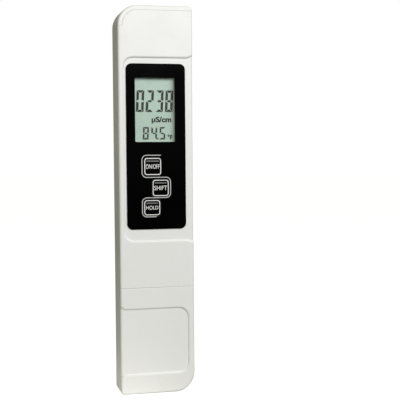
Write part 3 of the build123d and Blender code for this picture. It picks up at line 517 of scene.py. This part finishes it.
def lettering(name, text, corners, front_y, thick, finish, body, weight=0.0):
    """Generic words or figures, fitted to a box on the front face."""
    curve = bpy.data.curves.new(name, "FONT")
    curve.body = text
    curve.extrude = 0.01
    curve.offset = weight
    maker = bpy.data.objects.new(name + "_maker", curve)
    bpy.context.scene.collection.objects.link(maker)
    bpy.context.view_layer.update()
    mesh = bpy.data.meshes.new_from_object(maker.evaluated_get(bpy.context.evaluated_depsgraph_get()))
    bpy.data.objects.remove(maker)
    left, low, right, high = corners
    reaches = [(min(values), max(values)) for values in zip(*(vertex.co for vertex in mesh.vertices))]
    for vertex in mesh.vertices:
        across, up, depth = ((value - least) / (most - least)
                             for value, (least, most) in zip(vertex.co, reaches))
        vertex.co = Vector((left + across * (right - left), front_y + (1 - depth) * thick,
                            low + up * (high - low))) * MM
    mesh.name = name
    return add_piece(name, mesh, finish, body)


# Seven-segment figures of the display
def figure_outlines(shown, left, low, width, height, stroke, gap, slant):
    """Outlines of the lit segments of one figure."""
    half = stroke / 2
    middle = height / 2
    cut = stroke * 0.62
    shapes = {
        "a": [(gap + 0.12 * stroke, height), (width - gap - 0.12 * stroke, height),
              (width - gap - stroke, height - stroke * 0.95), (gap + stroke, height - stroke * 0.95)],
        "d": [(gap + 0.12 * stroke, 0), (width - gap - 0.12 * stroke, 0),
              (width - gap - stroke, stroke * 0.95), (gap + stroke, stroke * 0.95)],
        "g": [(gap + half, middle), (gap + stroke, middle + half * 0.85),
              (width - gap - stroke, middle + half * 0.85), (width - gap - half, middle),
              (width - gap - stroke, middle - half * 0.85), (gap + stroke, middle - half * 0.85)],
        "f": [(0, height - gap), (cut * 0.4, height - gap), (stroke, height - stroke - gap),
              (stroke, middle + half + gap * 0.6), (0, middle + gap)],
        "e": [(0, gap), (cut * 0.4, gap), (stroke, stroke + gap),
              (stroke, middle - half - gap * 0.6), (0, middle - gap)],
    }
    shapes["b"] = [(width - x, y) for x, y in shapes["f"]]
    shapes["c"] = [(width - x, y) for x, y in shapes["e"]]
    return [[(left + x + slant * y, low + y) for x, y in shapes[letter]] for letter in shown]


FIGURES = {"0": "abcdef", "2": "abged", "3": "abgcd", "8": "abcdefg", "4": "fgbc", "5": "afgcd"}
FIGURE_SLANT = 0.05
FIGURE_THICK = 0.02
UNIT_WEIGHT = 0.045
LARGE_FOOT = 112.27
SMALL_FOOT = 101.38
glass_low, glass_high = box_mm("lcd_glass")
figure_y = glass_low.y - 0.04


def figure_row(text, left, pitch, foot, width, height, stroke, gap):
    """Outlines of a row of figures."""
    outlines = []
    for place, number in enumerate(text):
        outlines += figure_outlines(FIGURES[number], left + pitch * place, foot, width, height, stroke, gap,
                                    FIGURE_SLANT)
    return outlines


large = figure_row("0238", -7.75, 3.9, LARGE_FOOT, 3.1, 8.58, 1.02, 0.12)
plate("display_figures", large, figure_y, FIGURE_THICK, SEGMENT_DARK, "root")
small = figure_row("845", -5.1, 3.35, SMALL_FOOT, 2.35, 4.96, 0.68, 0.08)
small.append(rectangle(0.75, SMALL_FOOT, 1.3, SMALL_FOOT + 0.55))
plate("display_small_figures", small, figure_y, FIGURE_THICK, SEGMENT_DARK, "root")
for name, text, corners in (("display_unit", "µS/cm", (-1.45, 107.71, 6.61, 110.47)),
                            ("display_degree", "°F", (4.94, 101.36, 6.96, 103.35))):
    lettering(name, text, corners, figure_y, FIGURE_THICK, SEGMENT_DARK, "root", UNIT_WEIGHT)

# Line that winds round the keys, and the frame, bar and word on each key
PRINT_PROUD = 0.02
PRINT_THICK = 0.03
WIND_X = (-5.79, 5.67)
WIND_Z = (95.17, 86.42, 78.35, 70.78)
WIND_START_X = 1.8
WIND_END_X = -0.1
WIND_R = 1.8
WIND_W = 0.32
FRAME_W = 0.3
FRAME_R = 0.9
BAR_DROP = 1.2
BAR_INSET = 0.72
BAR_HALF_H = 0.22
BAR_DRAW = 0.15
winding = [(WIND_START_X, WIND_Z[0]), (WIND_X[0], WIND_Z[0]), (WIND_X[0], WIND_Z[1]), (WIND_X[1], WIND_Z[1]),
           (WIND_X[1], WIND_Z[2]), (WIND_X[0], WIND_Z[2]), (WIND_X[0], WIND_Z[3]), (WIND_END_X, WIND_Z[3])]
winding_line = rounded_path(winding, [0] + [WIND_R] * 6 + [0], closed=False)
plate("winding_line", band_faces(winding_line, WIND_W, False), box_mm("overlay_film")[0].y - PRINT_PROUD,
      PRINT_THICK, PRINT_GREY, "root")
# Key, its word, the frame's width and height, and the word's width and height
KEY_PRINTS = (("power", "ON/OFF", 6.7, 6.65, 5.6, 1.8), ("shift", "SHIFT", 6.4, 6.4, 5.15, 1.75),
              ("hold", "HOLD", 6.35, 5.95, 4.85, 1.5))
for key, word, frame_width, frame_height, word_width, word_height in KEY_PRINTS:
    low, high = box_mm(f"{key}_pad")
    middle = (low + high) / 2
    half_width = (frame_width - FRAME_W) / 2
    half_height = (frame_height - FRAME_W) / 2
    print_y = low.y - PRINT_PROUD
    body = f"{key}_key"
    ring = rounded_path(rectangle(middle.x - half_width, middle.z - half_height, middle.x + half_width,
                                  middle.z + half_height), [FRAME_R] * 4)
    plate(f"{key}_frame", band_faces(ring, FRAME_W, True), print_y, PRINT_THICK, PRINT_PALE, body)
    bar_z = middle.z + frame_height / 2 - BAR_DROP
    bar_half = frame_width / 2 - BAR_INSET
    top_half = bar_half - BAR_DRAW
    bar = rounded_path([(middle.x - bar_half, bar_z - BAR_HALF_H), (middle.x + bar_half, bar_z - BAR_HALF_H),
                        (middle.x + top_half, bar_z + BAR_HALF_H), (middle.x - top_half, bar_z + BAR_HALF_H)],
                       [0.1] * 4, steps=3)
    plate(f"{key}_bar", [bar], print_y, PRINT_THICK, BAR_GREY, body)
    corners = (middle.x - word_width / 2, middle.z - word_height / 2, middle.x + word_width / 2,
               middle.z + word_height / 2)
    lettering(f"{key}_word", word, corners, print_y, PRINT_THICK, PRINT_PALE, body)


# Screws: pan head with a cross recess, and a rolled thread
def cross_recess(angle, radius, reach, arm, depth):
    """How deep the cross of a screw head is at a place on it."""
    across = min(abs(math.sin(angle)), abs(math.cos(angle))) * radius
    along = max(abs(math.sin(angle)), abs(math.cos(angle))) * radius
    if across > arm or along > reach:
        return 0.0
    return depth * (1 - along / reach * 0.55)


def screw_row(radius, height):
    """A row of the head's top, sunk where the cross is."""
    return lambda angle: (radius, height - cross_recess(angle, radius, 1.1, 0.17, 0.7))


def thread_row(height, pitch, core, crest):
    """A row of the thread, whose crest climbs round the shank."""
    def place(angle):
        turn = (height / pitch - angle / (2 * math.pi)) % 1.0
        rise = max(0.0, 1 - abs(turn - 0.5) * 3.2)
        return core + (crest - core) * rise, height
    return place


HEAD_R = 1.7
THREAD_PITCH = 0.55
THREAD_STEP = 0.07
THREAD_CORE = 0.66
THREAD_CREST = 0.9
screw_low, screw_high = box_mm("board_screws")
board_low, board_high = box_mm("circuit_board")
head_thick = screw_high.y - board_high.y
shank = board_high.y - screw_low.y
screw_rows = [(0.02, -shank), (0.3, -shank), (0.62, -shank + 0.45)]
screw_rows += [thread_row(-shank + 0.5 + THREAD_STEP * step, THREAD_PITCH, THREAD_CORE, THREAD_CREST)
               for step in range(int((shank - 0.6) / THREAD_STEP))]
screw_rows += [(0.7, -0.06), (0.74, 0.0), (1.55, 0.0), (1.68, 0.1), (HEAD_R, 0.5), (1.62, 0.78),
               (1.45, head_thick - 0.12)]
screw_rows += [screw_row(radius, head_thick - 0.1 * (radius / 1.3) ** 2)
               for radius in (1.25, 1.12, 1.08, 0.95, 0.8, 0.6, 0.4, 0.26, 0.22, 0.18, 0.1, 0.02)]
screw_x = (screw_high.x - screw_low.x) / 2 - HEAD_R
screw_spots = [((x, board_high.y, z), (-90, 0, 45)) for x in (-screw_x, screw_x)
               for z in (screw_low.z + HEAD_R, screw_high.z - HEAD_R)]
repeat("machine_screws", turned("screw", screw_rows, 48), screw_spots, SCREW_ZINC, "root",
       ["board_screws"])

# Rubber seal with two lips round the probe's neck
seal_low, seal_high = box_mm("neck_seal")
seal_middle = (seal_low + seal_high) / 2
seal_half = (seal_high - seal_low) / 2


def seal_loop(out, height, corner_r=1.2, steps=10):
    """A rounded rectangle that runs round the neck, moved outwards by out."""
    radius = corner_r + out
    loop = []
    for quarter, (side_x, side_y) in enumerate(((1, 1), (-1, 1), (-1, -1), (1, -1))):
        centre_x = seal_middle.x + side_x * (seal_half.x - corner_r)
        centre_y = seal_middle.y + side_y * (seal_half.y - corner_r)
        for step in range(steps + 1):
            angle = math.pi / 2 * (quarter + step / steps)
            loop.append((centre_x + radius * math.cos(angle), centre_y + radius * math.sin(angle), height))
    return loop


LIP_DEPTH = 0.16
LIP_STEPS = 24
seal_loops = []
for step in range(LIP_STEPS + 1):
    share = step / LIP_STEPS
    lip = -LIP_DEPTH * (1 + math.cos(4 * math.pi * share)) / 2
    seal_loops.append(seal_loop(lip, seal_low.z + share * 2 * seal_half.z))
seal_loops += [seal_loop(-0.95, seal_high.z - 0.1), seal_loop(-1.0, seal_high.z - 0.2),
               seal_loop(-1.0, seal_low.z + 0.2), seal_loop(-0.95, seal_low.z + 0.1)]
seal_shape = bmesh.new()
add_loops(seal_shape, seal_loops, ring=True)
seal_mesh = smooth_mesh("lip_seal", seal_shape)
add_piece("lip_seal", seal_mesh, SEAL_BLACK, "root", ["neck_seal"])

# Snap ridges on the necks that the hood and the cap click over
HOOD_DEPTH = 3.8
RIGHT_RIDGE = (13.6, 2.4)
LEFT_RIDGE = (-13.46, 1.9)
CAP_RIDGE_DROP = 2.2
probe_foot = box_mm("probe_housing")[0].z
cap_top = box_mm("protective_cap")[1].z
hood_foot = box_mm("back_shell")[1].z - HOOD_DEPTH
ridge = rounded_block("ridge", 0.28, 5.0, 0.7, 0.12)
hood_ridges = [((x, 0.0, hood_foot + rise), (0, lean, 0))
               for (x, rise), lean in ((RIGHT_RIDGE, 0), (LEFT_RIDGE, 11))]
cap_ridges = [((side * seal_half.x * 0.996, seal_middle.y, cap_top - CAP_RIDGE_DROP), (0, 0, 0))
              for side in (-1, 1)]
repeat("hood_snap_ridges", ridge, hood_ridges, SHELL_WHITE, "root")
repeat("cap_snap_ridges", ridge, cap_ridges, PROBE_WHITE, "root")


# Sealing beads where the pins and the capsule leave the probe
def bead(name, middle_r, bead_r, steps=12):
    """A round bead that rings a pin."""
    angles = [2 * math.pi * step / steps for step in range(steps)]
    rows = [(middle_r + bead_r * math.cos(angle), bead_r * math.sin(angle)) for angle in angles]
    return turned(name, rows, 36, ring=True)


pin_x = box_mm("right_electrode")[1].x - 1.0
pin_spots = [((x, seal_middle.y, probe_foot), (0, 0, 0)) for x in (-pin_x, pin_x)]
repeat("pin_beads", bead("bead", 1.06, 0.16), pin_spots, GASKET_WHITE, "root")
repeat("sensor_bead", bead("capsule_bead", 1.46, 0.15), [((0, seal_middle.y, probe_foot), (0, 0, 0))],
       GASKET_WHITE, "root")

# Battery cells: nylon ring between can and lid, and a stamped sign on the positive face
left_cell, right_cell = (box_mm(f"{side}_cell") for side in ("left", "right"))
cell_middles = [((low + high) / 2) for low, high in (left_cell, right_cell)]
ring_rows = [(4.82, 0.12), (5.0, 0.08), (5.22, 0.16), (5.3, 0.34), (5.3, 0.52), (4.82, 0.52)]
ring_spots = [((middle.x, left_cell[0].y, middle.z), (-90, 0, 0)) for middle in cell_middles]
gasket = turned("gasket", ring_rows, 64, ring=True)
repeat("cell_gaskets", gasket, ring_spots, GASKET_WHITE, "root")


def plus_outlines(x, z, size, stroke):
    """The bar of a plus sign and the two halves of its upright."""
    half = size / 2
    arm = stroke / 2
    return [rectangle(x - half, z - arm, x + half, z + arm), rectangle(x - arm, z + arm, x + arm, z + half),
            rectangle(x - arm, z - half, x + arm, z - arm)]


signs = []
for middle in cell_middles:
    signs += plus_outlines(middle.x, middle.z + 3.7, 1.9, 0.32)
plate("cell_signs", signs, left_cell[1].y - 0.01, 0.04, CELL_NICKEL, "root")

# Board: tracks, plated holes and solder on its back
BOARD_BACK_Y = board_high.y
TRACK_W = 0.32
EDGE_HOLE_X = 9.6
OUTER_TRACK_X = 7.0
RISER_X = 6.1
BEND_X = 5.6
LEG_X = 3.6
PAD_OUT = 0.62
END_OUT = 0.66
blob_low, blob_high = box_mm("controller_blob")
blob_middle = (blob_low + blob_high) / 2
amp_low, amp_high = box_mm("signal_amplifier")
res_low, res_high = box_mm("resistors")
can_low, can_high = box_mm("clock_crystal")
cap_can_low, cap_can_high = box_mm("filter_capacitors")
res_pitch_x = (res_high.x - res_low.x - 1.6) / 3
res_pitch_z = (res_high.z - res_low.z - 0.8) / 2
res_columns = [res_low.x + 0.8 + res_pitch_x * column for column in range(4)]
res_rows = [res_low.z + 0.4 + res_pitch_z * row for row in range(3)]
tracks = []
holes = []
for side in (-1, 1):
    tracks.append([(side * pin_x, board_low.z + 0.8), (side * pin_x, board_low.z + 5.5),
                   (side * 3.2, board_low.z + 8.2), (side * 3.2, amp_low.z + 0.4),
                   (side * 2.5, amp_low.z + 0.6)])
    tracks.append([(side * 0.6, board_low.z + 0.8), (side * 0.6, amp_low.z - 2.2),
                   (side * 3.9, amp_low.z - 0.4),
                   (side * 3.9, amp_low.z + 3.2), (side * 2.6, amp_low.z + 3.2)])
    tracks.append([(side * 2.6, amp_high.z - 0.6), (side * BEND_X, amp_high.z + 1.4),
                   (side * BEND_X, res_low.z - 0.9)])
    tracks.append([(side * OUTER_TRACK_X, cap_can_high.z + 0.2), (side * OUTER_TRACK_X, cap_can_high.z + 3.6),
                   (side * RISER_X, cap_can_high.z + 4.6), (side * RISER_X, board_high.z - 1.4)])
    tracks.append([(side * LEG_X, cap_can_low.z + 1.2), (side * LEG_X, can_high.z + 2.4),
                   (side * 2.0, can_high.z + 1.2)])
    for row in res_rows:
        holes.append((side * EDGE_HOLE_X, row))
        tracks.append([(side * (res_columns[3] + 0.9), row), (side * EDGE_HOLE_X, row)])
for low_row, high_row in zip(res_rows, res_rows[1:]):
    for column in res_columns:
        tracks.append([(column + PAD_OUT, low_row), (column + PAD_OUT, high_row)])
for place, column in enumerate(res_columns):
    landing = blob_middle.x + (place - 1.5) * 1.9
    tracks.append([(column - PAD_OUT, res_rows[2]), (column - PAD_OUT, res_high.z + 2.0),
                   (landing, res_high.z + 6.5), (landing, blob_low.z + 0.8)])
for step in range(20):
    angle = math.radians(-28 + 236 * step / 19)
    out = 7.0 + 1.9 * (step % 2)
    start = (blob_middle.x + 4.4 * math.cos(angle), blob_middle.z + 4.4 * math.sin(angle))
    end = (blob_middle.x + out * math.cos(angle), blob_middle.z + out * math.sin(angle) * 0.94)
    holes.append(end)
    tracks.append([start, end])
track_faces = [face for track in tracks
               for face in band_faces([Vector(point) for point in track], TRACK_W, False)
               if (face[0] - face[3]).length > 0.001]
plate("board_tracks", track_faces, BOARD_BACK_Y - 0.02, 0.05, TRACK_GREEN, "root")


def on_board(places, sink=0.0):
    """Spots on the board's back, for small forms that stand on it."""
    return [((x, BOARD_BACK_Y - sink, z), (-90, 0, 0)) for x, z in places]


hole_rows = [(0.16, 0.0), (0.16, 0.045), (0.19, 0.06), (0.38, 0.06), (0.42, 0.045), (0.42, 0.0)]
hole_unit = turned("hole", hole_rows, 20, ring=True)
repeat("plated_holes", hole_unit, on_board(holes), SOLDER_TIN, "root")
land_rows = [(2.0, 0.0), (2.0, 0.05), (1.92, 0.07), (1.05, 0.07), (1.0, 0.05), (1.0, 0.0)]
repeat("screw_lands", turned("screw_land", land_rows, 48, ring=True),
       on_board([(place[0], place[2]) for place, turn in screw_spots], 0.02), SOLDER_TIN, "root")
dome_rows = [(0.62, 0.0), (0.6, 0.08), (0.5, 0.22), (0.36, 0.36), (0.22, 0.46), (0.1, 0.5), (0.02, 0.51)]
solder_places = [(side * OUTER_TRACK_X, cap_can_high.z + 0.5) for side in (-1, 1)]
solder_places += [(side * LEG_X, cap_can_low.z + 0.6) for side in (-1, 1)]
solder_places += [(can_high.x + 1.3, (can_low.z + can_high.z) / 2 + offset) for offset in (-0.5, 0.5)]
solder_places += [(side * RISER_X + offset, board_high.z - 1.9) for side in (-1, 1) for offset in (-1.6, 1.6)]
repeat("solder_joints", turned("dome", dome_rows, 20), on_board(solder_places), SOLDER_TIN, "root")

# Ends, leads and lids of the board's components
end_cap = rounded_block("end_cap", 0.34, res_high.y - res_low.y + 0.04, 0.86, 0.05)
end_y = (res_low.y + res_high.y) / 2 + 0.01
end_spots = [((column + side * END_OUT, end_y, row), (0, 0, 0))
             for column in res_columns for row in res_rows for side in (-1, 1)]
repeat("resistor_ends", end_cap, end_spots, SOLDER_TIN, "root")
lead_rise = (amp_low.y + amp_high.y) / 2 - BOARD_BACK_Y
lead_path = [Vector(point) for point in ((-0.1, lead_rise), (0.3, lead_rise), (0.42, lead_rise - 0.1),
                                         (0.5, 0.2), (0.6, 0.1), (1.05, 0.09))]
lead_shape = bmesh.new()
for face in band_faces(lead_path, 0.15, False):
    lead_shape.faces.new([lead_shape.verts.new((point.x * MM, point.y * MM, -0.2 * MM)) for point in face])
bmesh.ops.remove_doubles(lead_shape, verts=lead_shape.verts, dist=0.002 * MM)
lead_back = bmesh.ops.extrude_face_region(lead_shape, geom=lead_shape.faces[:])
lead_verts = [item for item in lead_back["geom"] if isinstance(item, bmesh.types.BMVert)]
bmesh.ops.translate(lead_shape, verts=lead_verts, vec=(0, 0, 0.4 * MM))
lead_z = [(amp_low.z + amp_high.z) / 2 + 1.27 * (step - 1.5) for step in range(4)]
lead_spots = [((amp_high.x, BOARD_BACK_Y, z), (0, 0, 0)) for z in lead_z]
lead_spots += [((amp_low.x, BOARD_BACK_Y, z), (0, 180, 0)) for z in lead_z]
repeat("amplifier_leads", smooth_mesh("lead", lead_shape), lead_spots, SOLDER_TIN, "root")

lead_wires = bmesh.new()
can_middle = (can_low + can_high) / 2
for offset in (-0.5, 0.5):
    add_wire(lead_wires, [(can_high.x - 0.1, can_middle.y, can_middle.z + offset),
                          (can_high.x + 0.8, can_middle.y, can_middle.z + offset),
                          (can_high.x + 1.15, can_middle.y - 0.25, can_middle.z + offset),
                          (can_high.x + 1.3, BOARD_BACK_Y - 0.1, can_middle.z + offset)], 0.13)
cap_can_middle = (cap_can_low + cap_can_high) / 2
CAP_CAN_LENGTH = 4.6
for side in (-1, 1):
    inner_x = cap_can_low.x + CAP_CAN_LENGTH if side < 0 else cap_can_high.x - CAP_CAN_LENGTH
    for offset in (-0.9, 0.9):
        wire_z = cap_can_middle.z + offset
        add_wire(lead_wires, [(inner_x + side * 0.1, cap_can_middle.y, wire_z),
                              (inner_x - side * 0.5, cap_can_middle.y, wire_z),
                              (inner_x - side * 0.75, cap_can_middle.y - 0.25, wire_z),
                              (inner_x - side * 0.85, BOARD_BACK_Y - 0.1, wire_z)], 0.22)
wire_mesh = smooth_mesh("component_wires", lead_wires)
add_piece("component_wires", wire_mesh, SOLDER_TIN, "root")
lid_rows = [(1.72, -0.02), (1.72, 0.03), (1.66, 0.05), (1.5, 0.05), (1.46, 0.02), (0.3, 0.02), (0.02, 0.02)]
lid_spots = [((x, cap_can_middle.y, cap_can_middle.z), (0, angle, 0))
             for x, angle in ((cap_can_high.x, 90), (cap_can_low.x, -90))]
repeat("capacitor_lids", turned("lid", lid_rows, 40), lid_spots, SLEEVE_END, "root")

# Switches: a pressed metal cover held by four rivets
PEG_OUT = 2.15
cover_pegs = []
for key in ("power", "shift", "hold"):
    low, high = box_mm(f"{key}_switch")
    middle = (low + high) / 2
    cover_pegs += [((middle.x + dx * PEG_OUT, low.y, middle.z + dz * PEG_OUT), (90, 0, 0))
                   for dx in (-1, 1) for dz in (-1, 1)]
peg_rows = [(0.42, -0.05), (0.42, 0.03), (0.34, 0.09), (0.18, 0.11), (0.02, 0.11)]
repeat("switch_rivets", turned("rivet", peg_rows, 16), cover_pegs, SWITCH_BLACK, "root")

# Polarising film on the display's front glass
FILM_SIDE = 0.5
FILM_END = 0.9
film = rounded_path(rectangle(glass_low.x + FILM_SIDE, glass_low.z + FILM_END, glass_high.x - FILM_SIDE,
                              glass_high.z - FILM_END), [0.2] * 4, steps=3)
plate("display_film", [film], glass_low.y - 0.015, 0.03, DISPLAY_GREEN, "root")

NODE_FINISHES = {
    SHELL_WHITE: ("front_shell", "back_shell", "battery_hood", "protective_cap"),
    OVERLAY_BLACK: ("overlay_film", "power_pad", "shift_pad", "hold_pad"),
    LENS_CLEAR: ("display_lens",),
    DISPLAY_GREEN: ("lcd_glass",),
    KEY_WHITE: ("power_plunger", "shift_plunger", "hold_plunger"),
    FRAME_GREY: ("lcd_frame",),
    STRIP_RUBBER: ("zebra_strips",),
    MASK_GREEN: ("circuit_board",),
    RESIN_BLACK: ("controller_blob",),
    PART_BLACK: ("signal_amplifier", "resistors"),
    SLEEVE_BLUE: ("filter_capacitors",),
    CAN_STEEL: ("clock_crystal",),
    SWITCH_BLACK: ("power_switch", "shift_switch", "hold_switch"),
    STEM_BROWN: ("power_stem", "shift_stem", "hold_stem"),
    TRAY_BLACK: ("battery_tray",),
    CELL_NICKEL: ("left_cell", "right_cell"),
    CONTACT_BRASS: ("contact_bridge", "positive_contact", "negative_contact"),
    PROBE_WHITE: ("probe_housing",),
    PIN_TITANIUM: ("left_electrode", "right_electrode"),
    SENSOR_STEEL: ("temperature_sensor",),
}
for finish, names in NODE_FINISHES.items():
    for name in names:
        NODES[name].material_slots[0].material = finish


# Floor, light and camera
# Middle and reach in metres of the painted pool of light in the floor's colour
PAINTED_POOL_MIDDLE = (-0.055, 0.0, 0.0)
PAINTED_POOL_REACH = (0.04, 0.09)


def add_floor():
    """A pale floor, evenly white to the camera; to bounced light its colour is a painted pool of light,
    brightest round the pen and near black further out.
    """
    material, tree, output = new_finish("pale floor")
    glow = add_node(tree, "ShaderNodeEmission", Color=(1.0, 1.0, 1.0, 1.0), Strength=0.9)
    matt = add_node(tree, "ShaderNodeBsdfDiffuse", Color=(0.35, 0.35, 0.35, 1.0))
    seen = add_node(tree, "ShaderNodeAddShader", input0=glow.outputs[0], input1=matt.outputs[0])
    # Painted pool of light: the colour that only bounced rays see is near white round the pen and fades to
    # near black, standing in for the key light's fall-off on the floor
    place = own_place(tree)
    reach = add_node(tree, "ShaderNodeVectorMath", {"operation": "DISTANCE"}, input0=place,
                     input1=PAINTED_POOL_MIDDLE)
    pool = ranged(tree, reach.outputs["Value"], *PAINTED_POOL_REACH)
    painted_pool_colour = mix_colour(tree, pool, (0.95, 0.95, 0.92, 1.0), (0.05, 0.05, 0.05, 1.0))
    unseen = add_node(tree, "ShaderNodeBsdfDiffuse", Color=painted_pool_colour)
    path = tree.nodes.new("ShaderNodeLightPath")
    mixed = add_node(tree, "ShaderNodeMixShader", input0=path.outputs["Is Camera Ray"],
                     input1=unseen.outputs[0], input2=seen.outputs[0])
    tree.links.new(mixed.outputs[0], output.inputs["Surface"])
    mesh = bpy.data.meshes.new("floor")
    shape = bmesh.new()
    bmesh.ops.create_grid(shape, x_segments=8, y_segments=8, size=3.0)
    shape.to_mesh(mesh)
    shape.free()
    floor = bpy.data.objects.new("floor", mesh)
    floor.location.z = -0.00005
    bpy.context.scene.collection.objects.link(floor)
    mesh.materials.append(material)


def add_softbox(name, place, target, width, height, power, colour):
    """A rectangular studio light aimed at a point."""
    light = bpy.data.lights.new(name, "AREA")
    light.shape = "RECTANGLE"
    light.size = width
    light.size_y = height
    light.energy = power
    light.color = colour
    lamp = bpy.data.objects.new(name, light)
    lamp.location = place
    lamp.rotation_euler = (Vector(target) - Vector(place)).to_track_quat("-Z", "Y").to_euler()
    bpy.context.scene.collection.objects.link(lamp)


def add_world():
    """Soft light from all round, seen as a white backdrop."""
    world = bpy.data.worlds.new("studio")
    world.use_nodes = True
    tree = world.node_tree
    tree.nodes.clear()
    fill = add_node(tree, "ShaderNodeBackground", Color=(1.0, 0.975, 0.78, 1.0), Strength=0.34)
    white = add_node(tree, "ShaderNodeBackground", Color=(1.0, 1.0, 1.0, 1.0), Strength=1.0)
    path = tree.nodes.new("ShaderNodeLightPath")
    output = tree.nodes.new("ShaderNodeOutputWorld")
    mixed = add_node(tree, "ShaderNodeMixShader", input0=path.outputs["Is Camera Ray"],
                     input1=fill.outputs[0], input2=white.outputs[0])
    tree.links.new(mixed.outputs[0], output.inputs["Surface"])
    bpy.context.scene.world = world


def add_camera():
    """The photograph's camera: its place, its turn and its lens."""
    camera = bpy.data.objects.new("camera", bpy.data.cameras.new("camera"))
    right = Vector((0.97133, -0.23761, -0.00747))
    up = Vector((0.01900, 0.04629, 0.99875))
    back = -Vector((0.23696, 0.97026, -0.04948))
    place = Vector((-73.716, -382.640, 96.169)) * MM
    turn = Matrix((right, up, back)).transposed().to_4x4()
    camera.matrix_world = Matrix.Translation(place) @ turn
    camera.data.lens = 86.53
    camera.data.sensor_width = 36.0
    camera.data.clip_start = 0.01
    bpy.context.scene.collection.objects.link(camera)
    bpy.context.scene.camera = camera


add_floor()
add_softbox("key_light", place=(0.12, -0.40, 0.28), target=(0.0, 0.0, 0.08), width=0.5, height=0.2,
            power=1.91, colour=(1.0, 1.0, 1.0))
add_world()
add_camera()
bpy.context.scene.view_settings.view_transform = "Standard"
